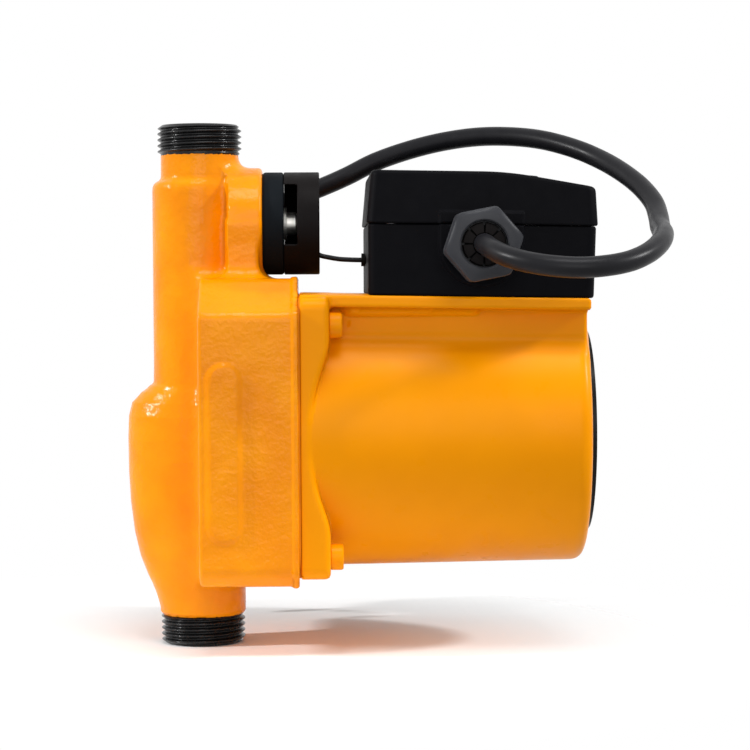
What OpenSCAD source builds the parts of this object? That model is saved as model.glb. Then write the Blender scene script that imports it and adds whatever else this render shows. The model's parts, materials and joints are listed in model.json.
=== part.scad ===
// Small wet-rotor circulation pump: cast in-line casing, motor housing bolted to it,
// terminal box on top, flow switch on the outlet branch and a tied mains lead.
// Origin at the centre of the inlet face, Z up along the pipe, X along the shaft, Y to the rear.

/* [Ports] */
// Distance between the two port faces
port_to_port = 160; // [156:1:170]
// Major diameter of the port threads
thread_d = 26.1; // [25.6:0.1:26.5]
// Length of each threaded end
thread_len = 8.8; // [8:0.2:10]
// Lead chamfer on each thread
thread_chamfer = 0.4; // [0.2:0.1:0.5]
// Diameter of the bare neck behind each thread
neck_d = 24.2; // [23:0.1:25]
// Bore of the water way at both ports
bore_d = 18; // [16:0.5:19]

/* [Casing] */
// Height of the shaft axis above the inlet face
shaft_z = 65.2; // [64:0.2:67]
// Left face of the square volute block
block_x = 0.7; // [0:0.1:1.5]
// Mating face of the casing toward the motor
split_x = 30.2; // [29.5:0.1:31]
// Half width of the volute block
block_half = 43; // [42:0.5:44]
// How far the block reaches above the shaft axis
block_rise = 47.4; // [47:0.2:49]
// How far the block reaches below the shaft axis
block_drop = 44; // [43:0.2:45]
// Height of the sloped upper shoulders of the block
shoulder_h = 10.6; // [9:0.2:12]
// Width of the sloped upper shoulders of the block
shoulder_w = 15; // [13:0.5:17]
// Chamfer along the lower edges of the block
lower_chamfer = 4.2; // [3:0.2:5]
// Width of the rim lip at the mating face
lip_w = 1.9; // [1.5:0.1:2.5]
// How far the rim lip stands out
lip_h = 0.5; // [0.3:0.1:0.8]
// Radius of the outlet column
column_r = 13.4; // [13:0.1:14]
// How far the column lies to the left of the pipe axis
column_shift = 1.3; // [1:0.1:2]
// Radius of the rounded top of the column
column_round = 3; // [2:0.2:4]
// Distance from the outlet face down to the column top
column_drop = 17; // [16:0.5:18]
// How far the suction bulge reaches to the left of the pipe axis
bulge_reach = 22.8; // [22:0.2:24]
// Height of the suction bulge above the shaft axis
bulge_rise = 15.6; // [14:0.2:17]
// Half width of the suction bulge
bulge_half = 16.5; // [15.5:0.5:18]
// Half width of the raised band on the block side
band_half = 4.9; // [4:0.1:5.5]
// How far the raised band stands out
band_h = 0.8; // [0.4:0.1:1.2]

/* [Water ways] */
// Width of the volute chamber along the shaft
chamber_w = 14; // [13.5:0.5:15]
// Radius of the volute at its narrow start
volute_r = 30.5; // [30:0.5:31]
// Growth of the volute radius over one turn
volute_growth = 5.5; // [4:0.5:6]
// Radius of the suction eye
eye_r = 11.5; // [11:0.1:12]
// Radius of the duct from the volute to the outlet
duct_r = 8; // [7.5:0.5:8.5]

/* [Motor] */
// Half width of the square motor flange
flange_half = 41.8; // [41.6:0.1:42.5]
// Thickness of the motor flange at its corner pads
pad_t = 8.8; // [8:0.2:10]
// Least thickness of the motor flange at mid side
flange_t = 3.2; // [3:0.2:4]
// Radius of the scoops between the corner pads
scoop_r = 61; // [58:1:64]
// Radius of the motor housing at the flange
barrel_r = 41.5; // [41:0.1:41.5]
// Radius of the motor housing at its closed end
barrel_end_r = 40.4; // [40:0.1:41]
// Closed end of the motor housing
motor_end_x = 117.6; // [116:0.2:119]
// Rounding of the closed end
end_round = 3.6; // [2:0.2:4]
// Bore of the motor housing that holds the stator
stator_seat_r = 37.4; // [37:0.1:38]
// Thickness of the closed end wall
end_wall = 3.4; // [3:0.2:4]
// Bolt distance from the shaft axis along Y and Z
bolt_half = 34.5; // [34:0.1:35]
// Bolt shank diameter
bolt_d = 5; // [4:0.5:5]
// Bolt head diameter
bolt_head_d = 7.8; // [7:0.1:8]
// Bolt head height
bolt_head_h = 3.8; // [3.4:0.1:4.4]
// Gasket thickness
gasket_t = 0.5; // [0.4:0.1:0.8]
// Radius of the black disc on the closed end
end_disc_r = 31; // [30:0.5:33]
// Thickness of the black disc
end_disc_t = 1.9; // [1.2:0.1:2.2]

/* [Rotating parts] */
// Shaft diameter
shaft_d = 8; // [7:0.5:8]
// Impeller diameter
impeller_d = 56; // [54:1:58]
// Number of impeller vanes
vane_count = 6; // [4:1:8]
// Height of the impeller vanes
vane_h = 6.4; // [6:0.2:7]
// Thickness of a vane
vane_t = 1.6; // [1.2:0.1:2]
// Rotor core diameter
rotor_d = 33; // [32:0.2:33.4]
// Rotor core length
rotor_len = 44; // [40:1:46]
// Inner radius of the rotor can
can_r = 17.2; // [17:0.1:17.5]
// Wall of the rotor can
can_wall = 0.5; // [0.3:0.1:0.6]

/* [Terminal box] */
// How far the platform stands above the motor barrel at the flange
platform_over = 1.1; // [1:0.1:2]
// Half width of the platform
platform_half = 37; // [36:0.5:38]
// Tilt of the platform and the box
box_tilt = 1.1; // [0.6:0.1:1.6]
// Left face of the box base
box_x = 50.8; // [50.6:0.2:52]
// Length of the box base
box_len = 67.8; // [66:0.2:69]
// Half depth of the box base
box_half = 36.8; // [36:0.2:37.4]
// Height of the box base
base_h = 21.4; // [21:0.2:22]
// Height of the lid above the joint
lid_h = 15.8; // [15:0.2:17]
// Height of the lid at its low end
lid_low_h = 11.2; // [10:0.2:12]
// Length of the flat part of the lid top
lid_flat_len = 41; // [40:0.5:42]
// How far the lid overhangs the base
lid_over = 0.5; // [0.3:0.1:0.8]
// Draft of the lid walls over their height
lid_draft = 1.1; // [0.5:0.1:1.4]
// Corner radius of the box
box_corner = 3; // [2.5:0.1:3.5]
// Wall of the box
box_wall = 2.2; // [2:0.1:2.6]
// Radius of the mode knob
knob_r = 7.8; // [7:0.2:9]
// Height of the mode knob
knob_h = 2.9; // [2.4:0.1:3.2]
// Distance of the knob axis from the left face
knob_x = 45.8; // [45:0.2:47]

/* [Cable gland] */
// Distance of the gland axis from the left face
gland_x = 33.5; // [33:0.1:35]
// Height of the gland axis above the platform
gland_z = 15.4; // [15.2:0.1:15.8]
// Width of the gland hexes across flats
gland_af = 20.6; // [19:0.2:21]
// Thickness of the gland body hex
gland_hex_t = 4; // [3:0.2:5]
// Length of the gland nut
gland_nut_len = 9.5; // [9:0.5:11]
// Front hole of the gland nut
gland_hole_d = 13.6; // [13:0.2:14]
// Half width of the raised pad behind the gland
gland_pad_half = 12.5; // [12:0.1:13]
// Height of the raised pad behind the gland
gland_pad_t = 1; // [0.6:0.1:1.4]

/* [Flow switch] */
// Distance from the outlet face down to the switch axis
switch_drop = 30.4; // [30:0.2:31]
// Face of the switch boss on the casing
boss_x = 19.4; // [19:0.1:20]
// Radius of the switch boss
boss_r = 17.2; // [17:0.1:17.6]
// Radius of the switch body
switch_r = 15.8; // [15.4:0.1:16]
// Thickness of the switch base disc
switch_base_t = 6.5; // [6:0.1:7]
// Length of the switch cap
switch_cap_len = 11; // [10.5:0.1:12]
// Wall of the switch cap
switch_wall = 1.6; // [1.4:0.1:2]
// Diameter of the metal stem of the switch
stem_d = 7; // [6.6:0.1:7.4]
// Width of the window in the switch cap
window_w = 4.2; // [3.8:0.1:4.6]
// Length of the flap paddle
flap_len = 18.5; // [17:0.5:19]
// Half width of the flap paddle
flap_half = 4.9; // [4.5:0.1:5.1]
// Diameter of the sensor lead
lead_d = 1.5; // [1.2:0.1:2]

/* [Mains lead] */
// Cable diameter
cable_d = 6.1; // [5.8:0.1:6.2]
// Turns of the tied coil
coil_turns = 4.75; // [3.75:1:4.75]
// Outer radius of the coil at the cable centre
coil_r = 40.2; // [39:0.1:41]
// Step between turns and between layers
coil_step = 6.8; // [6.8:0.1:7]
// Radius of the plug body
plug_r = 18; // [17:0.5:18.5]
// Length of the plug body
plug_len = 26; // [24:1:32]

/* [Hidden] */
$fn = 64;

// Clearances and the overrun that every cut shares
over = 1;
seat_gap = 0.05;
run_gap = 0.04;
wear_gap = 0.4;
side_gap = 1.2;
loose_gap = 0.3;

paint = "orange";
black = [0.09, 0.09, 0.1];
dark = [0.16, 0.16, 0.17];
steel = "silver";
brass = [0.72, 0.6, 0.32];

// Casing values that follow from the above
neck_r = neck_d / 2;
thread_r = thread_d / 2;
bore_r = bore_d / 2;
column_top = port_to_port - column_drop;
switch_z = port_to_port - switch_drop;
block_top = shaft_z + block_rise;
block_low = shaft_z - block_drop;
arc_steps = 8;

// Suction bulge: height, left reach and half width as shares of its full size
bulge_share = [
    [0, 0.53, 0.73], [0.07, 0.62, 0.76], [0.14, 0.724, 0.8], [0.23, 0.827, 0.86],
    [0.34, 0.904, 0.92], [0.47, 0.956, 0.97], [0.6, 0.985, 1], [0.75, 1, 1],
    [0.85, 0.985, 0.96], [0.91, 0.915, 0.87], [0.955, 0.79, 0.74], [0.985, 0.62, 0.58],
    [1, 0.4, 0.36]
];
bulge_sides = 20;
bulge_lift = 2.2;

// Raised band on the side of the volute block
band_inset = 2.6;
band_rise = 22;
band_fall = 27.5;
band_x = block_x + band_half + band_inset;
band_top = shaft_z + band_rise;
band_low = shaft_z - band_fall;
band_dip = 9;

// Stack along the shaft, from the volute to the closed end
plate_t = 3;
can_flange_t = 1;
chamber_x1 = split_x - can_flange_t - plate_t;
chamber_x0 = chamber_x1 - chamber_w;
register_r = volute_r + volute_growth + 0.5;
flange_x = split_x + gasket_t;
pad_x = flange_x + pad_t;
seat_ring_r = register_r - 2;
seat_ring_in = register_r - 5;
can_seal_r = 0.8;
suction_x = -8;
suction_r = bore_r;
elbow_z = 17;
knuckle = 0.5;
duct_x = chamber_x0 + 7;
duct_z = shaft_z + volute_r - 4;
duct_top = switch_z - 13;
volute_steps = 48;
bolt_depth = 13;
bolt_fall = 1;
bolt_r = bolt_d / 2;

shaft_r = shaft_d / 2;
bearing_r = shaft_r + 3;
bearing_len = 10;
front_bearing_x = chamber_x1 - 0.2;
hub_r = bearing_r + 2.5;
hub_x1 = front_bearing_x + bearing_len;
impeller_r = impeller_d / 2;
shroud_t = 1.4;
front_shroud_x = chamber_x0 + side_gap;
vane_x = front_shroud_x + shroud_t;
back_shroud_x = vane_x + vane_h;
impeller_x1 = back_shroud_x + shroud_t;
impeller_hub_r = 8;
impeller_nose_r = 6.4;
impeller_neck_len = 3.4;
impeller_neck_t = 1.3;
vane_root_r = 11;
vane_sweep = 68;
vane_bits = 6;
thrust_r = bearing_r - 0.4;
rotor_r = rotor_d / 2;
rotor_x = hub_x1 + 4.5;
can_end_x = rotor_x + rotor_len + 19;
can_end_t = 1.4;
sleeve_len = 11;
sleeve_t = 1.5;
stub_r = 8;
stub_bore = 5;
rear_bearing_x = can_end_x - sleeve_len;
shaft_x0 = front_shroud_x + 0.2;
shaft_x1 = can_end_x - 1.5;

// Stator
stator_gap = 0.3;
stator_r0 = can_r + can_wall + stator_gap;
stator_r1 = stator_seat_r - seat_gap;
stator_x0 = rotor_x + 1;
stator_x1 = rotor_x + rotor_len - 1;
slot_count = 6;
slot_r = 4.6;
slot_pitch_r = (stator_r0 + stator_r1) / 2 - 1;
slot_mouth = 2;
end_turn_len = 9;
end_turn_in = stator_r0 + 3;
end_turn_out = stator_r1 - 4.5;
winding_gap = 0.3;

// Motor housing
barrel_x = flange_x + flange_t;
housing_end_in = motor_end_x - end_wall;
platform_end_gap = 0.3;
platform_x1 = motor_end_x - platform_end_gap;
platform_rise = barrel_r + platform_over;
platform_z = shaft_z + platform_rise;
platform_skirt = 3.6;
platform_waist_half = 30;
platform_waist_drop = 11;
bolt_access = 2;
wire_hole_r = 5;
wire_hole_x = box_x + 22;
stub_gap = 0.4;
vent_head_r = 7;
vent_head_t = 2.6;
vent_slot_w = 1.6;
vent_slot_depth = 1.3;
vent_seal_t = 1;

// Terminal box, in its own frame on the platform
base_draft = 0.35;
lid_wall = 2.2;
knob_sink = 2.6;
knob_floor = lid_h - knob_sink;
knob_seat_r = knob_r + loose_gap + lid_wall / 2;
knob_z = base_h + knob_floor + seat_gap;
knob_hole_r = 4.5;
knob_spindle_r = knob_hole_r - loose_gap;
knob_spindle_len = 7;
knob_notch_w = 2.4;
knob_notch_depth = 1.2;
knob_dome = 0.8;
gland_thread_r = 7.6;
gland_inner_r = cable_d / 2 + 0.6;
gland_hex_r = gland_af / (2 * cos(30));
gland_neck_len = 6.5;
gland_neck_r = gland_thread_r + 0.6;
gland_turn = 48;
gland_face_y = -box_half - gland_pad_t;
gland_pad_top = base_h + 3.8;
locknut_t = 4;
seal_r = 5.6;
seal_len = 5;
claw_len = 2.7;
claw_count = 8;
claw_slit = 0.7;
claw_r0 = cable_d / 2 + 0.15;
claw_r1 = gland_hole_d / 2 - 0.35;
screw_r = 2.6;
screw_shank_r = 1.5;
screw_head_t = 2.2;
screw_inset = 7;
screw_post_r = 3.6;
screw_slot_w = 0.8;
capacitor_r = 8.6;
capacitor_len = 42;
capacitor_gap = 2.25;
capacitor_y = box_half - box_wall - base_draft - capacitor_r - capacitor_gap;
terminal_len = 26;
terminal_w = 12;
terminal_h = 10;
terminal_room = 16.8;
terminal_y = terminal_room - box_half;
mode_body = 15;
mode_body_h = 12;

// Flow switch and its flap
pocket_r = 8.5;
pocket_x1 = boss_x - 3.4;
boss_x0 = 9;
boss_round = 1.2;
cap_x = boss_x + switch_base_t;
cap_x1 = cap_x + switch_cap_len;
stem_r = stem_d / 2;
stem_wall = 0.9;
stem_x1 = cap_x1 - switch_wall - 2;
stem_collar_r = stem_r + 1.6;
window_high = 11.6;
window_low = -6.6;
pivot_x = 12.8;
pivot_z = switch_z - 3.4;
pin_r = 1;
pin_half = pocket_r + 1;
flap_t = 1.2;
flap_hub_r = 2.1;
flap_hub_half = 4.4;
magnet_r = 1.5;
magnet_h = 2;
magnet_arm = 5.4;
reed_r = 1.4;
reed_len = 13;
grommet_r = 2;
grommet_len = 1.2;
sensor_rise = 10.8;
seal_groove = 1;

// Sensor lead from the switch cap to the box, points chosen along its real sag
lead_points = [
    [37.3, 0, 119.6], [40, 0, 119], [43, 0, 118.5], [46, 0, 118.3], [49, 0, 118.2], [52.4, 0, 118.2]
];
lead_sides = 8;

// Mains lead, points chosen along the lead from the gland round to the coil
cable_points = [
    [84.6, -31, 122.2], [84.6, -42, 122.2], [84.6, -52, 122.2], [85.9, -60.1, 120.7],
    [89.4, -66.9, 118.6], [95, -72.2, 116.8], [102, -75.6, 115.6], [109.8, -76.7, 115.1],
    [117.5, -75.4, 115.6], [124.4, -71.8, 116.9], [130.2, -66.1, 119.2], [134.5, -58.3, 122],
    [136.9, -49.2, 124.7], [137.4, -39, 127], [138, -30.4, 130.5], [137.6, -22.4, 135],
    [134.7, -12.8, 140.3], [129.9, -3.2, 145.3], [124.3, 5.9, 149.5], [117.3, 13.1, 153.1],
    [108.4, 20.3, 156.1], [99.1, 26.2, 157.6], [88.6, 31.3, 157.9], [77.6, 35.7, 156.7],
    [66.6, 39, 154.2], [55.5, 41.8, 150.5], [46.1, 43.4, 145.9], [37.3, 46, 142.2],
    [28.8, 46.5, 139], [21.8, 46.4, 134.5], [16.9, 46.5, 128.2], [14.1, 46.9, 120.7],
    [13.8, 47.5, 112.8], [16, 48.2, 105.1], [20.8, 49, 98.2], [27.4, 48.8, 91.5],
    [31.8, 48, 84.6], [33.8, 47.5, 76.5], [33.8, 47.5, 68.5]
];
tail_points = [
    [67.9, 54.3, 102.6], [62, 54.3, 102.6], [52, 54.8, 102.9], [42, 56, 103.6], [33, 57.6, 103.6],
    [25, 59.4, 101.4], [17.6, 61.2, 96.4], [12.4, 62.4, 90], [10.4, 62.9, 85.4], [10, 63, 82.4],
    [10, 63, 79.4]
];
cable_sides = 10;
coil_sides = 6;
coil_rings = 24;
coil_x = 74;
coil_y = 47.5;
coil_z = 62.4;
coil_start = 180;
tie_w = 4.6;
tie_t = 1.1;
tie_gap = 0.3;
tie_head = 5.4;
plug_x = 10;
plug_y = 63;
plug_top = 79.4;
relief_len = 20;
relief_r = 5.4;
plug_neck_r = 11;
plug_neck_len = 9;
pin_len = 19;
pin_pitch = 19;
plug_pin_r = 2.4;
plug_recess = 2;
plug_recess_r = 14.5;
relief_wall = 1;

// Points on an arc
function arc(cx, cy, r, a0, a1, n) =
    [for (i = [0:n]) let (a = a0 + (a1 - a0) * i / n) [cx + r * cos(a), cy + r * sin(a)]];

function mirrored(points) =
    concat(points, [for (i = [len(points) - 1:-1:0]) [-points[i].x, points[i].y]]);

// Profile given as Y and Z, run along X
module run_x(x0, x1) {
    translate([x0, 0, 0]) rotate([90, 0, 90]) linear_extrude(height = x1 - x0) children();
}

// Profile given as X and Z, run along Y
module run_y(y0, y1) {
    translate([0, y1, 0]) rotate([90, 0, 0]) linear_extrude(height = y1 - y0) children();
}

// Profile given as radius and X, turned about the shaft axis
module turn_shaft(points) {
    translate([0, 0, shaft_z]) rotate([0, 90, 0]) rotate_extrude() polygon(points);
}

// Plain ring about the shaft axis
module shaft_ring(x0, x1, r0, r1) {
    turn_shaft([[r0, x0], [r1, x0], [r1, x1], [r0, x1]]);
}

// Round bar along X at a given place
module bar_x(x0, x1, r, y, z) {
    translate([x0, y, z]) rotate([0, 90, 0]) cylinder(h = x1 - x0, r = r);
}

// Round bar from one point to another in the plane of the pipe and the shaft
module bar_to(p, q, r) {
    translate([p.x, 0, p.y]) rotate([0, atan2(q.x - p.x, q.y - p.y), 0])
        cylinder(h = norm(q - p), r = r);
}

// Rectangle with true round corners, centred
module round_rect(w, h, r) {
    square([w - 2 * r, h], center = true);
    square([w, h - 2 * r], center = true);
    for (sx = [-1, 1], sy = [-1, 1]) translate([sx * (w / 2 - r), sy * (h / 2 - r)]) circle(r = r);
}

module at_bolts() {
    for (sy = [-1, 1], sz = [-1, 1]) translate([0, sy * bolt_half, shaft_z - bolt_fall + sz * bolt_half]) children();
}

// Frame of the terminal box: X from its left face, Z up from the platform
module on_platform() {
    translate([flange_x, 0, platform_z]) rotate([0, box_tilt, 0]) translate([box_x - flange_x, 0, 0])
        children();
}

// Rings of a tube that follows a list of points, each ring square to the path
function path_tangent(p, i) =
    let (a = p[max(i - 1, 0)], b = p[min(i + 1, len(p) - 1)]) (b - a) / norm(b - a);
function side_of(t) =
    let (u = abs(t.z) < 0.9 ? [0, 0, 1] : [0, 1, 0], s = cross(t, u)) s / norm(s);
function carry(v, t) =
    let (w = v - (v * t) * t) w / norm(w);
function frames(p, i = 0, v = undef, acc = []) =
    i == len(p) ? acc
    : let (t = path_tangent(p, i), s = i == 0 ? side_of(t) : carry(v, t))
        frames(p, i + 1, s, concat(acc, [[p[i], s, cross(t, s)]]));

module tube_along(points, r, sides) {
    f = frames(points);
    n = len(points);
    rings = [for (k = f, j = [0:sides - 1])
        k[0] + r * (cos(360 * j / sides) * k[1] + sin(360 * j / sides) * k[2])];
    walls = [for (i = [0:n - 2], j = [0:sides - 1])
        let (a = i * sides + j, b = i * sides + (j + 1) % sides)
        each [[a, b, b + sides], [a, b + sides, a + sides]]];
    caps = [
        [for (j = [sides - 1:-1:0]) j],
        [for (j = [0:sides - 1]) (n - 1) * sides + j]
    ];
    polyhedron(points = rings, faces = [for (q = concat(walls, caps)) [for (k = [len(q) - 1:-1:0]) q[k]]]);
}

function path_length(p) = len(p) < 2 ? 0 : [for (i = [1:len(p) - 1]) norm(p[i] - p[i - 1])] * [for (i = [1:len(p) - 1]) 1];

// Centre of the coil's tube after a number of turns: in on one layer, out on the next
function coil_point(turn) =
    let (
        half = coil_turns / 2,
        r = coil_r - coil_step * min(turn, coil_turns - turn),
        climb = min(max((turn - half) * 2 + 0.5, 0), 1),
        a = coil_start + 360 * turn
    ) [coil_x + r * cos(a), coil_y + coil_step * climb, coil_z + r * sin(a)];
coil_count = coil_turns * coil_rings;
coil_path = concat(
    [[coil_x - coil_r, coil_y, coil_z + cable_d]],
    [for (i = [0:coil_count]) coil_point(i / coil_rings)],
    [[coil_x - cable_d, coil_y + coil_step, coil_z + coil_r]]
);
// Least gap between points of the coil that lie more than half a turn apart
coil_gap = min([for (i = [0:len(coil_path) - 1]) for (j = [i + coil_rings / 2:1:len(coil_path) - 1])
    norm(coil_path[i] - coil_path[j])]) - cable_d;

module pump_casing() {
    color(paint) difference() {
        casing_outside();
        casing_water_ways();
        casing_fittings();
    }
}

module casing_outside() {
    port_end(0, 0);
    port_end(port_to_port, 180);
    cylinder(h = port_to_port - thread_len, r = neck_r);
    translate([0, 0, thread_len]) cylinder(h = port_to_port - 2 * thread_len, r = neck_r);
    outlet_column();
    suction_bulge();
    volute_block();
    switch_boss();
}

// One threaded end, modelled at its major diameter
module port_end(z, turn) {
    translate([0, 0, z]) rotate([turn, 0, 0]) {
        cylinder(h = thread_chamfer, r1 = thread_r - thread_chamfer, r2 = thread_r);
        translate([0, 0, thread_chamfer]) cylinder(h = thread_len - thread_chamfer, r = thread_r);
    }
}

module outlet_column() {
    z0 = shaft_z;
    translate([-column_shift, 0, 0]) rotate_extrude()
        polygon(concat([[0, z0], [column_r, z0]],
            arc(column_r - column_round, column_top - column_round, column_round, 0, 90, arc_steps),
            [[0, column_top]]));
}

// Loft of rounded sections that hides the suction passage
module suction_bulge() {
    z0 = thread_len + bulge_lift;
    height = shaft_z + bulge_rise - z0;
    n = bulge_sides;
    m = len(bulge_share);
    points = [for (s = bulge_share, j = [0:n - 1])
        let (
            a = 360 * j / n,
            reach = cos(a) < 0 ? bulge_reach * s[1] : neck_r
        ) [reach * cos(a), bulge_half * s[2] * sin(a), z0 + height * s[0]]];
    walls = [for (i = [0:m - 2], j = [0:n - 1])
        let (a = i * n + j, b = i * n + (j + 1) % n)
        each [[a, b + n, b], [a, a + n, b + n]]];
    caps = [[for (j = [0:n - 1]) j], [for (j = [n - 1:-1:0]) (m - 1) * n + j]];
    polyhedron(points = points, faces = concat(walls, caps));
}

// Outline of the square volute block in Y and Z, grown by an amount
module block_outline(grow) {
    polygon(mirrored([
        [block_half - shoulder_w + grow / 2, block_top + grow],
        [block_half + grow, block_top - shoulder_h + grow / 2],
        [block_half + grow, block_low + lower_chamfer - grow / 2],
        [block_half - lower_chamfer + grow / 2, block_low - grow]
    ]));
}

module volute_block() {
    run_x(block_x, split_x) block_outline(0);
    run_x(split_x - lip_w, split_x) block_outline(lip_h);
    // Swell of the volute on each side of the block
    for (side = [-1, 1]) hull() {
        translate([band_x, side * (block_half - band_half + band_h), band_low + band_half])
            sphere(r = band_half, $fn = 24);
        translate([band_x, side * (block_half - band_half + band_h), band_top - band_dip])
            sphere(r = band_half, $fn = 24);
    }
}

// Round pad that the flow switch screws on, carried down to the block
module switch_boss() {
    bar_x(boss_x0, boss_x - boss_round, boss_r, 0, switch_z);
    translate([boss_x - boss_round, 0, switch_z]) rotate([0, 90, 0])
        cylinder(h = boss_round, r1 = boss_r, r2 = boss_r - boss_round);
    run_x(boss_x0, boss_x - boss_round) polygon(mirrored([
        [boss_r, switch_z], [boss_r, block_top - shoulder_h]
    ]));
}

module casing_water_ways() {
    suction_mid = [suction_x, shaft_z - bore_d];
    translate([0, 0, -over]) cylinder(h = elbow_z + over, r = bore_r);
    bar_to([0, elbow_z], suction_mid, suction_r);
    translate([0, 0, elbow_z]) sphere(r = bore_r + knuckle);
    translate([suction_x, 0, suction_mid.y]) cylinder(h = shaft_z - suction_mid.y, r = suction_r);
    translate([suction_x, 0, suction_mid.y]) sphere(r = suction_r + knuckle);
    translate([suction_x, 0, shaft_z]) sphere(r = suction_r + knuckle);
    bar_x(suction_x, chamber_x0 + over, suction_r, 0, shaft_z);
    bar_x(chamber_x0 - impeller_neck_len - side_gap, chamber_x0 + over, eye_r, 0, shaft_z);
    volute_chamber();
    bar_to([duct_x, duct_z], [0, duct_top], duct_r);
    translate([0, 0, duct_top]) sphere(r = bore_r + knuckle);
    translate([0, 0, duct_top]) cylinder(h = port_to_port - duct_top + over, r = bore_r);
    shaft_ring(chamber_x1, split_x + over, 0, register_r);
}

// Spiral chamber round the impeller
module volute_chamber() {
    run_x(chamber_x0, chamber_x1 + over) polygon([for (i = [0:volute_steps - 1])
        let (a = 100 + 360 * i / volute_steps, r = volute_r + volute_growth * i / volute_steps)
        [r * cos(a), shaft_z + r * sin(a)]]);
}

module casing_fittings() {
    at_bolts() rotate([0, 90, 0]) translate([0, 0, split_x - bolt_depth])
        cylinder(h = bolt_depth + over, r = bolt_r + seat_gap);
    bar_x(0, pocket_x1, pocket_r, 0, switch_z);
    bar_x(0, boss_x + over, stem_r + seat_gap, 0, switch_z);
    bar_x(boss_x - seal_groove, boss_x + over, stem_collar_r + seat_gap, 0, switch_z);
    translate([pivot_x, pin_half, pivot_z]) rotate([90, 0, 0])
        cylinder(h = 2 * pin_half, r = pin_r + seat_gap);
}

module casing_gasket() {
    color(dark) difference() {
        run_x(split_x, flange_x) translate([0, shaft_z])
            round_rect(2 * flange_half, 2 * flange_half, bolt_head_d);
        shaft_ring(split_x - over, flange_x + over, 0, seat_ring_r + seat_gap);
        at_bolts() bar_x(split_x - over, flange_x + over, bolt_r + loose_gap, 0, 0);
    }
}

// Steel disc that closes the volute and carries the front bearing
module bearing_plate() {
    r1 = register_r - seat_gap;
    bore = bearing_r + seat_gap;
    color(steel) turn_shaft([
        [bore, chamber_x1], [r1, chamber_x1], [r1, chamber_x1 + plate_t],
        [hub_r, chamber_x1 + plate_t], [hub_r, hub_x1], [bore, hub_x1]
    ]);
}

module front_bearing() {
    color([0.25, 0.25, 0.27]) shaft_ring(front_bearing_x, hub_x1, shaft_r + run_gap, bearing_r);
}

module rear_bearing() {
    color([0.25, 0.25, 0.27]) shaft_ring(rear_bearing_x, can_end_x, shaft_r + run_gap, bearing_r);
}

module thrust_ring() {
    color("white") shaft_ring(impeller_x1, front_bearing_x - loose_gap, shaft_r + seat_gap, thrust_r);
}

// Closed impeller: two shrouds, backswept vanes between them and a neck that runs in the eye
module impeller() {
    neck_out = eye_r - wear_gap;
    neck_in = neck_out - impeller_neck_t;
    color([0.82, 0.8, 0.74]) {
        difference() {
            union() {
                turn_shaft([
                    [neck_in, front_shroud_x - impeller_neck_len], [neck_out, front_shroud_x - impeller_neck_len],
                    [neck_out, front_shroud_x], [impeller_r, front_shroud_x],
                    [impeller_r, vane_x], [neck_in, vane_x]
                ]);
                shaft_ring(back_shroud_x, impeller_x1, 0, impeller_r);
                shaft_ring(front_shroud_x, back_shroud_x + shroud_t / 2, 0, impeller_nose_r);
                for (k = [0:vane_count - 1]) impeller_vane(360 * k / vane_count);
            }
            shaft_ring(shaft_x0 - over, impeller_x1 + over, 0, shaft_r + seat_gap);
        }
    }
}

// One vane as a strip along a spiral, run into both shrouds
module impeller_vane(turn) {
    function at(i, off) =
        let (
            s = i / vane_bits,
            r = vane_root_r + (impeller_r - shroud_t / 2 - vane_root_r) * s,
            a = turn + vane_sweep * s
        ) [r * cos(a) - off * sin(a + vane_sweep), r * sin(a) + off * cos(a + vane_sweep)];
    outline = concat([for (i = [0:vane_bits]) at(i, vane_t / 2)], [for (i = [vane_bits:-1:0]) at(i, -vane_t / 2)]);
    translate([0, 0, shaft_z]) run_x(vane_x - shroud_t / 2, back_shroud_x + shroud_t / 2) polygon(outline);
}

module shaft() {
    color([0.93, 0.92, 0.88]) shaft_ring(shaft_x0, shaft_x1, 0, shaft_r);
}

module rotor_core() {
    cap_t = 1.5 * shroud_t;
    color([0.6, 0.6, 0.62]) turn_shaft([
        [shaft_r + seat_gap, rotor_x], [rotor_r - cap_t, rotor_x], [rotor_r, rotor_x + cap_t],
        [rotor_r, rotor_x + rotor_len - cap_t], [rotor_r - cap_t, rotor_x + rotor_len],
        [shaft_r + seat_gap, rotor_x + rotor_len]
    ]);
}

// Thin steel cup between the wet rotor and the dry stator, with a sleeve for the rear bearing
module rotor_can() {
    x0 = chamber_x1 + plate_t;
    out_r = can_r + can_wall;
    sleeve_r = bearing_r + seat_gap;
    color(steel) turn_shaft([
        [can_r, x0], [register_r - seat_gap, x0], [register_r - seat_gap, split_x], [out_r, split_x],
        [out_r, can_end_x + can_end_t], [stub_r, can_end_x + can_end_t],
        [stub_r, motor_end_x], [stub_bore, motor_end_x], [stub_bore, can_end_x],
        [sleeve_r, can_end_x], [sleeve_r, rear_bearing_x], [sleeve_r + sleeve_t, rear_bearing_x],
        [sleeve_r + sleeve_t, can_end_x], [can_r, can_end_x]
    ]);
}

// Rubber ring in the corner behind the can flange
module can_seal() {
    color(black) translate([split_x, 0, shaft_z]) rotate([0, 90, 0]) rotate_extrude()
        translate([seat_ring_in - can_seal_r - seat_gap, can_seal_r]) circle(r = can_seal_r);
}

module stator_core() {
    color([0.5, 0.51, 0.53]) difference() {
        shaft_ring(stator_x0, stator_x1, stator_r0, stator_r1);
        for (k = [0:slot_count - 1]) translate([0, 0, shaft_z]) rotate([360 * k / slot_count, 0, 0]) {
            bar_x(stator_x0 - over, stator_x1 + over, slot_r, slot_pitch_r, 0);
            translate([stator_x0 - over, 0, -slot_mouth / 2])
                cube([stator_x1 - stator_x0 + 2 * over, slot_pitch_r, slot_mouth]);
        }
    }
}

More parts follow.
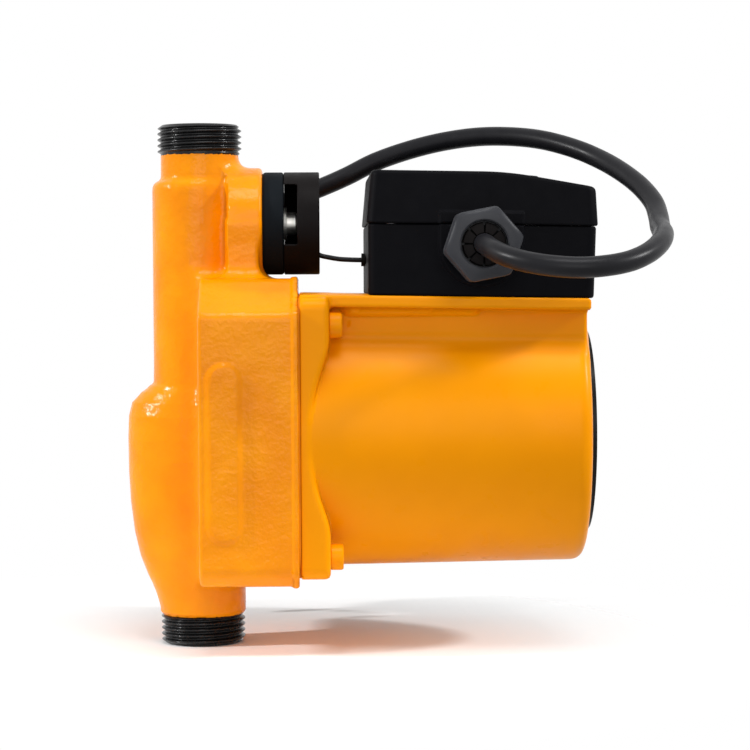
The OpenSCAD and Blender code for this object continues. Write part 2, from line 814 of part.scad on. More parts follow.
// Copper end turns joined by the bundles in the slots
module stator_windings() {
    x0 = stator_x0 - winding_gap;
    x1 = stator_x1 + winding_gap;
    round_r = end_turn_len / 3;
    color([0.72, 0.42, 0.2]) {
        for (side = [0, 1]) turn_shaft([
            [end_turn_in, side ? x1 : x0], [end_turn_out, side ? x1 : x0],
            [end_turn_out, side ? x1 + end_turn_len - round_r : x0 - end_turn_len + round_r],
            [end_turn_out - round_r, side ? x1 + end_turn_len : x0 - end_turn_len],
            [end_turn_in + round_r, side ? x1 + end_turn_len : x0 - end_turn_len],
            [end_turn_in, side ? x1 + end_turn_len - round_r : x0 - end_turn_len + round_r]
        ]);
        for (k = [0:slot_count - 1]) translate([0, 0, shaft_z]) rotate([360 * k / slot_count, 0, 0])
            bar_x(x0 - winding_gap, x1 + winding_gap, slot_r - winding_gap, slot_pitch_r, 0);
    }
}

module motor_housing() {
    color(paint) difference() {
        union() {
            motor_flange();
            turn_shaft(concat(
                [[0, flange_x], [flange_half - flange_t, flange_x], [flange_half - flange_t, barrel_x],
                    [barrel_r, barrel_x]],
                arc(motor_end_x - end_round, 0, end_round, 90, 0, arc_steps) * [[0, 1], [1, 0]]
                    + [for (i = [0:arc_steps]) [barrel_end_r - end_round, 0]],
                [[0, motor_end_x]]
            ));
            platform();
        }
        shaft_ring(flange_x - over, housing_end_in, 0, stator_seat_r);
        shaft_ring(motor_end_x - end_wall - over, motor_end_x + over, 0, stub_r + stub_gap);
        at_bolts() {
            bar_x(flange_x - over, pad_x + over, bolt_r + loose_gap, 0, 0);
            bar_x(pad_x, pad_x + bolt_head_h + bolt_access, bolt_head_d / 2 + loose_gap, 0, 0);
        }
        translate([wire_hole_x, 0, shaft_z]) cylinder(h = platform_rise + over, r = wire_hole_r);
        on_platform() base_screw_places() translate([0, 0, -platform_skirt - over])
            cylinder(h = platform_skirt + 2 * over, r = screw_shank_r + seat_gap);
    }
    // Ring that presses the can flange into the casing
    color(paint) shaft_ring(split_x, flange_x + over, seat_ring_in, seat_ring_r);
}

// Square flange whose motor side is scooped out between the four bolt pads
module motor_flange() {
    difference() {
        run_x(flange_x, pad_x) translate([0, shaft_z])
            round_rect(2 * flange_half, 2 * flange_half, bolt_head_d / 2);
        for (turn = [0, 90]) translate([barrel_x + scoop_r, 0, shaft_z]) rotate([turn, 0, 0])
            cylinder(h = 4 * flange_half, r = scoop_r, center = true, $fn = 128);
    }
}

// Flat saddle that carries the terminal box, sloping down toward the closed end
module platform() {
    intersection() {
        run_x(flange_x, platform_x1) polygon(mirrored([
            [platform_half, platform_z + over], [platform_half, platform_z - platform_skirt],
            [platform_waist_half + over, platform_z - 2 * platform_skirt],
            [platform_waist_half, platform_z - platform_waist_drop],
            [platform_waist_half, shaft_z + barrel_end_r / 2]
        ]));
        translate([flange_x, 0, platform_z]) rotate([0, box_tilt, 0])
            translate([-barrel_r, -barrel_r, -barrel_r]) cube([3 * barrel_r + motor_end_x, 2 * barrel_r, barrel_r]);
    }
}

module housing_bolts() {
    shank = pad_t + gasket_t + bolt_depth - 2 * over;
    color(paint) at_bolts() {
        bar_x(pad_x, pad_x + bolt_head_h, bolt_head_d / 2, 0, 0);
        bar_x(pad_x - shank, pad_x, bolt_r, 0, 0);
    }
}

module end_disc() {
    color(black) shaft_ring(motor_end_x, motor_end_x + end_disc_t, vent_head_r + 2 * stub_gap, end_disc_r);
}

module vent_screw() {
    x1 = motor_end_x + vent_seal_t;
    x2 = x1 + vent_head_t;
    color(brass) difference() {
        turn_shaft([
            [0, motor_end_x - end_wall], [stub_bore - seat_gap, motor_end_x - end_wall],
            [stub_bore - seat_gap, x1], [vent_head_r, x1], [vent_head_r, x2], [0, x2]
        ]);
        translate([x2 - vent_slot_depth, -vent_head_r - over, shaft_z - vent_slot_w / 2])
            cube([vent_slot_depth + over, 2 * (vent_head_r + over), vent_slot_w]);
    }
}

module vent_seal() {
    color(black) shaft_ring(motor_end_x, motor_end_x + vent_seal_t, stub_bore, vent_head_r - 2 * seat_gap);
}

// Block with drafted walls and round corners: x0, length, half depth, z0, height, draft per side
module drafted_block(x0, length, half, z0, height, draft, corner) {
    translate([x0 + length / 2, 0, z0])
        linear_extrude(height = height, scale = [1 - 2 * draft / length, 1 - draft / half], slices = 1)
            round_rect(length, 2 * half, corner, $fn = 32);
}

module base_screw_places() {
    for (x = [1.5 * screw_inset, box_len - screw_inset]) translate([x, 0, 0]) children();
}

module lid_screw_places() {
    for (sy = [-1, 1]) translate([screw_inset, sy * (box_half - screw_inset), 0]) children();
}

module box_base() {
    wall = box_wall;
    color(black) on_platform() difference() {
        union() {
            difference() {
                translate([0, 0, base_h]) mirror([0, 0, 1])
                    drafted_block(0, box_len, box_half, 0, base_h, base_draft, box_corner);
                drafted_block(wall + base_draft, box_len - 2 * wall - 2 * base_draft,
                    box_half - wall - base_draft, wall, base_h, 0, box_corner - wall / 2);
            }
            gland_pad(base_draft, base_h);
            lid_screw_places() cylinder(h = base_h, r = screw_post_r);
        }
        at_gland() translate([0, 0, -over]) cylinder(h = 3 * box_wall + 2 * gland_pad_t + over, r = gland_thread_r + seat_gap);
        base_screw_places() translate([0, 0, -over])
            cylinder(h = wall + 2 * over, r = screw_shank_r + loose_gap);
        lid_screw_places() translate([0, 0, base_h / 2]) cylinder(h = base_h, r = screw_shank_r + seat_gap);
        translate([wire_hole_x - box_x, 0, -over]) cylinder(h = wall + 2 * over, r = wire_hole_r);
        sensor_hole(grommet_r - grommet_len / 2 + seat_gap);
    }
}

// Frame on the gland axis at the pad face, Z into the box
module at_gland() {
    translate([gland_x, gland_face_y, gland_z]) rotate([-90, 0, 0]) children();
}

// Raised pad round the gland between two heights
module gland_pad(z0, z1) {
    intersection() {
        translate([0, 0, 0]) run_y(gland_face_y, -box_half + box_wall) {
            translate([gland_x, gland_z]) circle(r = gland_pad_half);
            translate([gland_x - gland_pad_half, gland_z])
                square([2 * gland_pad_half, gland_pad_top - gland_z]);
        }
        translate([0, -box_half - 2 * box_wall, z0]) cube([box_len, box_half, z1 - z0]);
    }
}

module sensor_hole(r) {
    translate([-over, 0, sensor_rise]) rotate([0, 90, 0]) cylinder(h = box_wall + base_draft + 2 * over, r = r);
}

// Outside form of the lid, drawn in by an inset for its hollow
module lid_form(inset, z0) {
    x0 = -lid_over + inset;
    length = box_len + 2 * lid_over - 2 * inset;
    half = box_half + lid_over - inset;
    top = lid_h - inset;
    intersection() {
        drafted_block(x0, length, half, z0, top - z0, lid_draft, box_corner);
        run_y(-box_half - box_wall, box_half + box_wall) polygon([
            [-box_wall, z0], [-box_wall, top], [lid_flat_len, top],
            [box_len + box_wall, lid_low_h - inset], [box_len + box_wall, z0]
        ]);
    }
}

module box_lid() {
    color(black) on_platform() translate([0, 0, base_h]) difference() {
        union() {
            difference() {
                lid_form(0, 0);
                lid_form(lid_wall, -over);
            }
            translate([0, 0, -base_h]) gland_pad(base_h, gland_pad_top);
            translate([knob_x, 0, lid_low_h - lid_wall])
                cylinder(h = knob_floor - lid_low_h + lid_wall, r = knob_seat_r);
            lid_screw_places() cylinder(h = lid_h - lid_wall, r = screw_post_r);
        }
        translate([knob_x, 0, -over]) cylinder(h = lid_h + 2 * lid_wall, r = knob_hole_r);
        translate([knob_x, 0, knob_floor]) cylinder(h = lid_h, r = knob_r + loose_gap);
        lid_screw_places() {
            translate([0, 0, -over]) cylinder(h = lid_h + 2 * over, r = screw_shank_r + loose_gap);
            translate([0, 0, lid_h - screw_head_t]) cylinder(h = lid_h, r = screw_r + loose_gap);
        }
        translate([0, 0, -base_h]) at_gland() translate([0, 0, -over])
            cylinder(h = 3 * box_wall + over, r = gland_thread_r + seat_gap);
    }
}

module slotted_screw(shank) {
    difference() {
        union() {
            cylinder(h = screw_head_t - loose_gap, r = screw_r);
            translate([0, 0, -shank]) cylinder(h = shank, r = screw_shank_r);
        }
        translate([-screw_r - over, -screw_slot_w / 2, screw_head_t - loose_gap - screw_slot_w])
            cube([2 * (screw_r + over), screw_slot_w, screw_head_t]);
    }
}

module base_screws() {
    color(steel) on_platform() base_screw_places() translate([0, 0, box_wall])
        slotted_screw(box_wall + platform_skirt);
}

module lid_screws() {
    color(steel) on_platform() lid_screw_places() translate([0, 0, base_h + lid_h - screw_head_t])
        slotted_screw(lid_h);
}

// Round selector on the lid with a pointer notch
module mode_knob() {
    color(black) on_platform() translate([knob_x, 0, knob_z]) difference() {
        union() {
            rotate_extrude() polygon(concat([[0, 0], [knob_r, 0]],
                arc(knob_r - knob_dome, knob_h - knob_dome, knob_dome, 0, 90, arc_steps), [[0, knob_h]]));
            translate([0, 0, -knob_spindle_len]) cylinder(h = knob_spindle_len + over, r = knob_spindle_r);
        }
        translate([knob_r / 2, -knob_notch_w / 2, knob_h - knob_notch_depth])
            cube([knob_r, knob_notch_w, knob_h]);
    }
}

module mode_switch() {
    z1 = knob_z - knob_spindle_len - loose_gap;
    color([0.3, 0.3, 0.32]) on_platform() translate([knob_x, 0, z1 - mode_body_h]) {
        translate([-mode_body / 2, -mode_body / 2, 0]) cube([mode_body, mode_body, mode_body_h]);
        translate([0, 0, -z1 + mode_body_h + box_wall])
            cylinder(h = z1 - mode_body_h - box_wall + over, r = mode_body / 4);
    }
}

module capacitor() {
    x0 = (box_len - capacitor_len) / 2;
    color([0.85, 0.85, 0.82]) on_platform() translate([x0, capacitor_y, box_wall + capacitor_r])
        rotate([0, 90, 0]) cylinder(h = capacitor_len, r = capacitor_r);
}

module terminal_block() {
    pole = terminal_len / 3;
    color([0.88, 0.88, 0.84]) on_platform() translate([box_wall + screw_inset, terminal_y, box_wall]) difference() {
        translate([0, -terminal_w / 2, 0]) cube([terminal_len, terminal_w, terminal_h]);
        for (k = [0:2]) translate([pole * (k + 0.5), 0, terminal_h / 2])
            cylinder(h = terminal_h, r = screw_r);
    }
}

module gland_body() {
    inside_len = 2 * box_wall + gland_pad_t + locknut_t;
    color(dark) on_platform() at_gland() difference() {
        union() {
            translate([0, 0, -gland_hex_t]) rotate([0, 0, gland_turn]) cylinder(h = gland_hex_t, r = gland_hex_r, $fn = 6);
            translate([0, 0, -gland_hex_t - gland_neck_len]) cylinder(h = gland_neck_len + over, r = gland_neck_r);
            translate([0, 0, -over]) cylinder(h = inside_len + over, r = gland_thread_r);
        }
        translate([0, 0, -gland_hex_t - gland_neck_len - over])
            cylinder(h = inside_len + gland_hex_t + gland_neck_len + 2 * over, r = gland_inner_r);
        translate([0, 0, -gland_hex_t - gland_neck_len - over]) cylinder(h = seal_len + over, r = seal_r + seat_gap);
    }
    color(dark) on_platform() at_gland() gland_claws();
}

// Crown of fingers that the nut presses onto the cable
module gland_claws() {
    translate([0, 0, -gland_hex_t - gland_neck_len - claw_len]) difference() {
        cylinder(h = claw_len, r = claw_r1);
        translate([0, 0, -over]) cylinder(h = claw_len + 2 * over, r = claw_r0);
        for (k = [0:claw_count - 1]) rotate([0, 0, 360 * k / claw_count])
            translate([0, -claw_slit / 2, -over]) cube([2 * claw_r1, claw_slit, claw_len]);
    }
}

module gland_locknut() {
    color(dark) on_platform() at_gland() translate([0, 0, box_wall + base_draft + gland_pad_t + seat_gap]) difference() {
        cylinder(h = locknut_t, r = gland_hex_r, $fn = 6);
        translate([0, 0, -over]) cylinder(h = locknut_t + 2 * over, r = gland_thread_r + seat_gap);
    }
}

module gland_seal() {
    color([0.22, 0.22, 0.23]) on_platform() at_gland() translate([0, 0, -gland_hex_t - gland_neck_len]) difference() {
        cylinder(h = seal_len, r = seal_r);
        translate([0, 0, -over]) cylinder(h = seal_len + 2 * over, r = cable_d / 2 + 2 * seat_gap);
    }
}

// Nut that screws on the neck, open at the front for the claws and the cable
module gland_nut() {
    back = gland_hex_t + 2 * seat_gap;
    front = back + gland_nut_len;
    color(black) on_platform() at_gland() difference() {
        translate([0, 0, -front]) rotate([0, 0, gland_turn])
            cylinder(h = gland_nut_len, r = gland_hex_r, $fn = 6);
        translate([0, 0, -back - gland_neck_len - seat_gap])
            cylinder(h = gland_neck_len + over, r = gland_neck_r + seat_gap);
        translate([0, 0, -front - over]) cylinder(h = gland_nut_len, r = gland_hole_d / 2);
    }
}

module switch_base() {
    color(dark) difference() {
        bar_x(boss_x, cap_x, switch_r, 0, switch_z);
        bar_x(boss_x - over, cap_x + over, stem_r + seat_gap, 0, switch_z);
    }
}

// Cup with a window in its near side
module switch_cap() {
    inner_r = switch_r - switch_wall;
    color(black) difference() {
        bar_x(cap_x, cap_x1, switch_r, 0, switch_z);
        bar_x(cap_x - over, cap_x1 - switch_wall, inner_r, 0, switch_z);
        translate([cap_x - over, -switch_r - over, switch_z + window_low])
            cube([window_w + over, switch_r, window_high - window_low]);
        translate([cap_x, 0, lead_points[0].z]) rotate([0, 90, 0])
            cylinder(h = 2 * switch_cap_len, r = lead_d / 2 + seat_gap);
    }
}

// Metal tube that screws into the boss and holds the reed switch
module switch_stem() {
    color([0.8, 0.79, 0.76]) difference() {
        union() {
            bar_x(pocket_x1 + seat_gap, stem_x1, stem_r, 0, switch_z);
            bar_x(cap_x, cap_x + stem_wall, stem_collar_r, 0, switch_z);
        }
        bar_x(pocket_x1 + stem_wall + seat_gap, stem_x1 + over, stem_r - stem_wall, 0, switch_z);
    }
}

module switch_seal() {
    color(black) bar_ring(boss_x - seal_groove, boss_x, stem_r + seat_gap, stem_collar_r, switch_z);
}

module bar_ring(x0, x1, r0, r1, z) {
    difference() {
        bar_x(x0, x1, r1, 0, z);
        bar_x(x0 - over, x1 + over, r0, 0, z);
    }
}

module reed_switch() {
    color([0.5, 0.7, 0.62]) bar_x(pocket_x1 + 2 * stem_wall, pocket_x1 + 2 * stem_wall + reed_len, reed_r, 0,
        switch_z - stem_r + stem_wall + reed_r + 2 * seat_gap);
}

// Paddle that the rising water lifts, with its hub on the pin
module flow_flap() {
    tip = flap_half;
    color([0.86, 0.86, 0.84]) difference() {
        union() {
            translate([pivot_x, 0, pivot_z - flap_t / 2]) linear_extrude(height = flap_t) {
                translate([-flap_len + tip, 0]) circle(r = tip);
                translate([-flap_len + tip, -tip]) square([flap_len - tip - flap_hub_r, 2 * tip]);
                translate([-flap_hub_r - over, -flap_hub_half]) square([flap_hub_r + over, 2 * flap_hub_half]);
            }
            translate([pivot_x, flap_hub_half, pivot_z]) rotate([90, 0, 0]) cylinder(h = 2 * flap_hub_half, r = flap_hub_r);
        }
        translate([pivot_x, flap_hub_half + over, pivot_z]) rotate([90, 0, 0])
            cylinder(h = 2 * (flap_hub_half + over), r = pin_r + run_gap);
    }
}

module flap_magnet() {
    color(steel) translate([pivot_x - magnet_arm, 0, pivot_z + flap_t / 2]) cylinder(h = magnet_h, r = magnet_r);
}

module flap_pin() {
    color(steel) translate([pivot_x, pin_half - seat_gap, pivot_z]) rotate([90, 0, 0])
        cylinder(h = 2 * (pin_half - seat_gap), r = pin_r);
}

module sensor_lead() {
    color(black) tube_along(lead_points, lead_d / 2, lead_sides);
}

module sensor_grommet() {
    color(dark) on_platform() translate([-grommet_len, 0, sensor_rise]) rotate([0, 90, 0]) difference() {
        union() {
            cylinder(h = grommet_len, r = grommet_r);
            cylinder(h = grommet_len + box_wall, r = grommet_r - grommet_len / 2);
        }
        translate([0, 0, -over]) cylinder(h = 2 * grommet_len + box_wall + 2 * over, r = lead_d / 2 + 3 * seat_gap);
    }
}

module power_cable() {
    color(black) tube_along(cable_points, cable_d / 2, cable_sides);
}

module cable_coil() {
    color(black) tube_along(coil_path, cable_d / 2, coil_sides);
}

// Strap round all turns at the right of the coil
module cable_tie() {
    near_r = coil_r - coil_step * (coil_turns / 2 - 0.125) - cable_d / 2 - tie_gap;
    far_r = coil_r - coil_step / 4 + cable_d / 2 + tie_gap;
    y0 = coil_y - cable_d / 2 - tie_gap;
    y1 = coil_y + coil_step + cable_d / 2 + tie_gap;
    color(black) translate([coil_x, 0, coil_z - tie_w / 2]) {
        linear_extrude(height = tie_w) difference() {
            translate([(near_r + far_r) / 2, (y0 + y1) / 2])
                round_rect(far_r - near_r + 2 * tie_t, y1 - y0 + 2 * tie_t, 2 * tie_t);
            translate([(near_r + far_r) / 2, (y0 + y1) / 2])
                round_rect(far_r - near_r, y1 - y0, tie_t);
        }
        translate([far_r + tie_t / 2, y1 - tie_head, -(tie_head - tie_w) / 2])
            cube([tie_head - tie_t, tie_head, tie_head]);
    }
}

module cable_tail() {
    color(black) tube_along(tail_points, cable_d / 2, cable_sides);
}

// Moulded mains plug with its tapered strain relief
module power_plug() {
    z0 = plug_top - relief_len;
    z1 = z0 - plug_neck_len;
    z2 = z0 - plug_len;
    color(black) translate([plug_x, plug_y, 0]) difference() {
        rotate_extrude() polygon(concat(
            [[0, plug_top], [cable_d / 2 + relief_wall, plug_top], [relief_r, z0], [plug_neck_r, z0 - relief_wall]],
            [[plug_r, z1], [plug_r, z2 + relief_wall], [plug_r - relief_wall, z2], [0, z2]]
        ));
        translate([0, 0, z2 - over]) cylinder(h = plug_recess + over, r = plug_recess_r / 2);
    }
}

module plug_pins() {
    z2 = plug_top - relief_len - plug_len;
    color(steel) for (side = [-1, 1]) translate([plug_x + side * pin_pitch / 2, plug_y, z2 - pin_len])
        cylinder(h = pin_len, r = plug_pin_r);
}

echo(coil_gap_mm = coil_gap, cable_mm = path_length(cable_points), coil_mm = path_length(coil_path),
    tail_mm = path_length(tail_points));

pump_casing();
casing_gasket();
bearing_plate();
front_bearing();
thrust_ring();
impeller();
shaft();
rotor_core();
rotor_can();
can_seal();
rear_bearing();
stator_core();
stator_windings();
motor_housing();
housing_bolts();
end_disc();
vent_screw();
vent_seal();
box_base();
box_lid();
base_screws();
lid_screws();
mode_knob();
mode_switch();
capacitor();
terminal_block();
gland_body();
gland_locknut();
gland_seal();
gland_nut();
switch_base();
switch_cap();
switch_stem();
switch_seal();
reed_switch();
flow_flap();
flap_magnet();
flap_pin();
sensor_lead();
sensor_grommet();
power_cable();
cable_coil();
cable_tie();
cable_tail();
power_plug();
plug_pins();
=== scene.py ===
import json
import math

import bmesh
import bpy
import numpy as np
from mathutils import Matrix, Vector


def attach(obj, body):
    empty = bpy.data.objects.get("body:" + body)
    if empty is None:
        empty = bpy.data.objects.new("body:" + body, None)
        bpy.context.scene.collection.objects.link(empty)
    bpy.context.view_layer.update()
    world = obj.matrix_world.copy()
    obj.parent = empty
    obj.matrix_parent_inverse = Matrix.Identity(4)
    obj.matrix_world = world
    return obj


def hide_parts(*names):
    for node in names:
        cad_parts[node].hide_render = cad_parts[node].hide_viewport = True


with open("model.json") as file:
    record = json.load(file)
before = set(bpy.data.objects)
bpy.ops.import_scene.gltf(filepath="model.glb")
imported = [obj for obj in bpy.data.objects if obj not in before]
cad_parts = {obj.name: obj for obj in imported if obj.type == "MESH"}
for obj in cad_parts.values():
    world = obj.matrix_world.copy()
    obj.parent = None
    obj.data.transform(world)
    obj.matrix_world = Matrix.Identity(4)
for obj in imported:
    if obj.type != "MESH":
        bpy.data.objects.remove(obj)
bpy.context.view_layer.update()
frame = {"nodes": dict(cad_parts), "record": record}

MM = 0.001
nodes = frame["nodes"]
scene = bpy.context.scene


# Camera at the photograph's place: square on to the pipe, a little above the motor
CAMERA_PLACE = (0.0342, -0.776, 0.1116)
CAMERA_YAW = math.radians(1.45)
CAMERA_PITCH = math.radians(2.15)
CAMERA_ROLL = math.radians(0.35)
camera_data = bpy.data.cameras.new("camera")
camera_data.sensor_width = 36
camera_data.lens = 120
camera_data.clip_start = 0.01
camera_data.clip_end = 50
camera = bpy.data.objects.new("camera", camera_data)
scene.collection.objects.link(camera)
aim = (
    Matrix.Rotation(-CAMERA_YAW, 4, "Z")
    @ Matrix.Rotation(math.pi / 2 - CAMERA_PITCH, 4, "X")
    @ Matrix.Rotation(-CAMERA_ROLL, 4, "Z")
)
camera.matrix_world = Matrix.Translation(CAMERA_PLACE) @ aim
scene.camera = camera
scene.view_settings.view_transform = "Standard"


# Finishes
class Shade:
    """A material under construction: short calls that add and join its nodes."""

    def __init__(self, name, roughness=0.5, metallic=0.0, ior=1.5):
        self.mat = bpy.data.materials.new(name)
        self.mat.use_nodes = True
        self.tree = self.mat.node_tree
        self.shader = self.tree.nodes["Principled BSDF"]
        self.shader.inputs["Roughness"].default_value = roughness
        self.shader.inputs["Metallic"].default_value = metallic
        self.shader.inputs["IOR"].default_value = ior
        self.place = self.tree.nodes.new("ShaderNodeTexCoord").outputs["Object"]

    def join(self, value, socket):
        if isinstance(value, bpy.types.NodeSocket):
            self.tree.links.new(value, socket)
        else:
            socket.default_value = value

    def noise(self, size_mm, detail=3.0, rough=0.5, stretch=None):
        """Noise whose features are about size_mm across."""
        node = self.tree.nodes.new("ShaderNodeTexNoise")
        node.inputs["Scale"].default_value = 1 / (size_mm * MM)
        node.inputs["Detail"].default_value = detail
        node.inputs["Roughness"].default_value = rough
        self.join(self.place if stretch is None else self.stretched(stretch), node.inputs["Vector"])
        return node.outputs["Fac"]

    def stretched(self, factors):
        node = self.tree.nodes.new("ShaderNodeMapping")
        node.inputs["Scale"].default_value = factors
        self.join(self.place, node.inputs["Vector"])
        return node.outputs["Vector"]

    def ramp(self, value, stops):
        """Values or colours between stops of (place, value)."""
        node = self.tree.nodes.new("ShaderNodeValToRGB")
        self.join(value, node.inputs["Fac"])
        marks = node.color_ramp.elements
        while len(marks) < len(stops):
            marks.new(0.5)
        for mark, (place, colour) in zip(marks, stops):
            mark.position = place
            tone = (colour,) * 3 if isinstance(colour, (int, float)) else colour
            mark.color = (*tone, 1)
        return node.outputs["Color"]

    def math(self, how, a, b=0.0):
        node = self.tree.nodes.new("ShaderNodeMath")
        node.operation = how
        self.join(a, node.inputs[0])
        self.join(b, node.inputs[1])
        return node.outputs[0]

    def mix(self, share, a, b):
        node = self.tree.nodes.new("ShaderNodeMix")
        node.data_type = "RGBA"
        self.join(share, node.inputs[0])
        for value, socket in ((a, node.inputs[6]), (b, node.inputs[7])):
            self.join(value if isinstance(value, bpy.types.NodeSocket) else (*value, 1), socket)
        return node.outputs[2]

    def axis(self, name):
        node = self.tree.nodes.new("ShaderNodeSeparateXYZ")
        self.join(self.place, node.inputs[0])
        return node.outputs[name]

    def colour(self, value):
        socket = self.shader.inputs["Base Color"]
        self.join(value if isinstance(value, bpy.types.NodeSocket) else (*value, 1), socket)

    def gloss(self, value):
        self.join(value, self.shader.inputs["Roughness"])

    def bump(self, *layers):
        """Layers of (height, depth in mm), each a bump on top of the one before."""
        normal = None
        for height, depth_mm in layers:
            node = self.tree.nodes.new("ShaderNodeBump")
            node.inputs["Strength"].default_value = 1.0
            node.inputs["Distance"].default_value = depth_mm * MM
            self.join(height, node.inputs["Height"])
            if normal is not None:
                self.join(normal, node.inputs["Normal"])
            normal = node.outputs["Normal"]
        self.join(normal, self.shader.inputs["Normal"])


def linear(r, g, b):
    """A colour written as screen values from 0 to 255."""
    return tuple(
        (v / 255 / 12.92) if v / 255 <= 0.04045 else ((v / 255 + 0.055) / 1.055) ** 2.4
        for v in (r, g, b)
    )


def cast_paint():
    s = Shade("casing_paint", roughness=0.2, ior=1.24)
    blotch = s.noise(16, 3)
    s.colour(s.ramp(blotch, [(0.3, linear(232, 133, 0)), (0.7, linear(242, 149, 0))]))
    s.gloss(s.ramp(s.noise(5, 4), [(0.3, 0.1), (0.7, 0.2)]))
    s.bump((s.noise(3.2, 2, 0.5), 0.26), (s.noise(1.1, 3, 0.55), 0.14))
    return s.mat


def motor_paint():
    s = Shade("motor_paint", roughness=0.3, ior=1.16)
    s.colour(s.ramp(s.noise(25, 2), [(0.3, linear(238, 146, 0)), (0.7, linear(244, 152, 0))]))
    s.gloss(s.ramp(s.noise(6, 3), [(0.3, 0.26), (0.7, 0.36)]))
    s.bump((s.noise(0.9, 2, 0.5), 0.012))
    return s.mat


def moulded(name, tone, rough, grain_mm, grain_depth, ior=1.2):
    s = Shade(name, roughness=rough, ior=ior)
    low = tuple(v * 0.8 for v in tone)
    s.colour(s.ramp(s.noise(9, 4), [(0.3, low), (0.7, tone)]))
    s.gloss(s.ramp(s.noise(4, 3), [(0.3, rough - 0.06), (0.7, rough + 0.06)]))
    s.bump((s.noise(grain_mm, 2, 0.6), grain_depth))
    return s.mat


def bare_metal(name, tone, rough, stretch=(1, 1, 1)):
    s = Shade(name, roughness=rough, metallic=1.0)
    low = tuple(v * 0.86 for v in tone)
    s.colour(s.ramp(s.noise(4, 4), [(0.3, low), (0.7, tone)]))
    s.gloss(s.ramp(s.noise(1.5, 3, 0.6, stretch), [(0.3, rough - 0.07), (0.7, rough + 0.07)]))
    s.bump((s.noise(0.5, 2, 0.6, stretch), 0.01))
    return s.mat


PORT_MIDDLE = 0.08
BARE_REACH = 0.0112
RAGGED = 0.0022


def port_metal():
    """Bare black thread that runs under the ragged edge of the paint."""
    s = Shade("port_metal", roughness=0.25, ior=1.34)
    height = s.math("ABSOLUTE", s.math("SUBTRACT", s.axis("Z"), PORT_MIDDLE))
    ragged = s.math("MULTIPLY", s.noise(3, 3), RAGGED)
    edge = s.math("ADD", s.math("SUBTRACT", PORT_MIDDLE, height), ragged)
    bare = s.math("LESS_THAN", edge, BARE_REACH)
    s.colour(s.mix(bare, linear(240, 146, 4), linear(13, 13, 14)))
    s.gloss(s.ramp(s.noise(2, 3), [(0.3, 0.16), (0.7, 0.32)]))
    s.bump((s.noise(0.8, 3, 0.6), 0.03))
    return s.mat


finishes = {
    "casing_paint": cast_paint(),
    "motor_paint": motor_paint(),
    "box_plastic": moulded("box_plastic", linear(11, 11, 14), 0.5, 0.35, 0.02, 1.1),
    "gland_plastic": moulded("gland_plastic", linear(52, 53, 57), 0.42, 0.6, 0.008, 1.25),
    "switch_plastic": moulded("switch_plastic", linear(18, 15, 15), 0.5, 0.5, 0.012, 1.14),
    "cable_jacket": moulded("cable_jacket", linear(26, 26, 29), 0.36, 0.9, 0.01, 1.22),
    "plug_plastic": moulded("plug_plastic", linear(26, 26, 29), 0.45, 0.6, 0.012),
    "black_rubber": moulded("black_rubber", linear(22, 22, 22), 0.7, 0.8, 0.02),
    "gasket_fibre": moulded("gasket_fibre", linear(226, 134, 10), 0.6, 0.5, 0.03),
    "switch_disc": moulded("switch_disc", linear(18, 22, 26), 0.62, 0.5, 0.015, 1.12),
    "port_metal": port_metal(),
    "disc_black": moulded("disc_black", linear(20, 21, 23), 0.35, 1.2, 0.01, 1.2),
    "carbon": moulded("carbon", linear(50, 50, 54), 0.4, 0.3, 0.01, 1.5),
    "impeller_plastic": moulded("impeller_plastic", linear(222, 214, 196), 0.4, 1.0, 0.01, 1.5),
    "inner_plastic": moulded("inner_plastic", linear(225, 222, 214), 0.35, 1.0, 0.01, 1.5),
    "ceramic": moulded("ceramic", linear(240, 238, 230), 0.2, 0.4, 0.004, 1.5),
    "reed_glass": moulded("reed_glass", linear(170, 205, 190), 0.1, 0.5, 0.004, 1.5),
    "stainless": bare_metal("stainless", (0.62, 0.62, 0.61), 0.3, (1, 1, 8)),
    "nickel": bare_metal("nickel", (0.86, 0.84, 0.79), 0.42, (1, 6, 1)),
    "zinc_steel": bare_metal("zinc_steel", (0.66, 0.66, 0.68), 0.34),
    "core_steel": bare_metal("core_steel", (0.5, 0.51, 0.52), 0.45, (20, 1, 1)),
    "copper": bare_metal("copper", (0.76, 0.36, 0.16), 0.3, (1, 12, 1)),
    "brass": bare_metal("brass", (0.8, 0.58, 0.24), 0.28),
}
for row in frame["record"]["subparts"]:
    piece = nodes.get(row["node"])
    if piece is not None:
        piece.data.materials.clear()
        piece.data.materials.append(finishes[row["material_slot"]])


def mesh_object(name, points, faces, finish, node_names, body):
    """A finished piece from points in millimetres."""
    mesh = bpy.data.meshes.new(name)
    mesh.from_pydata([tuple(v * MM for v in p) for p in points], [], faces)
    mesh.validate()
    obj = bpy.data.objects.new(name, mesh)
    scene.collection.objects.link(obj)
    return finish_piece(obj, finish, node_names, body)


def finish_piece(obj, finish, node_names=(), body="pump"):
    """Material, body, replaced nodes and slot of a piece."""
    obj.data.materials.clear()
    obj.data.materials.append(finishes[finish])
    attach(obj, body)
    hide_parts(*node_names)
    return obj


def ring_faces(rows, sides, loop):
    """Quads of a tube of rows of points, with flat ends or joined end to end."""
    faces = []
    last = rows if loop else rows - 1
    for i in range(last):
        for j in range(sides):
            a, b = i * sides + j, i * sides + (j + 1) % sides
            c, d = ((i + 1) % rows) * sides + j, ((i + 1) % rows) * sides + (j + 1) % sides
            faces.append((a, b, d, c))
    if not loop:
        faces.append(tuple(range(sides - 1, -1, -1)))
        faces.append(tuple((rows - 1) * sides + j for j in range(sides)))
    return faces


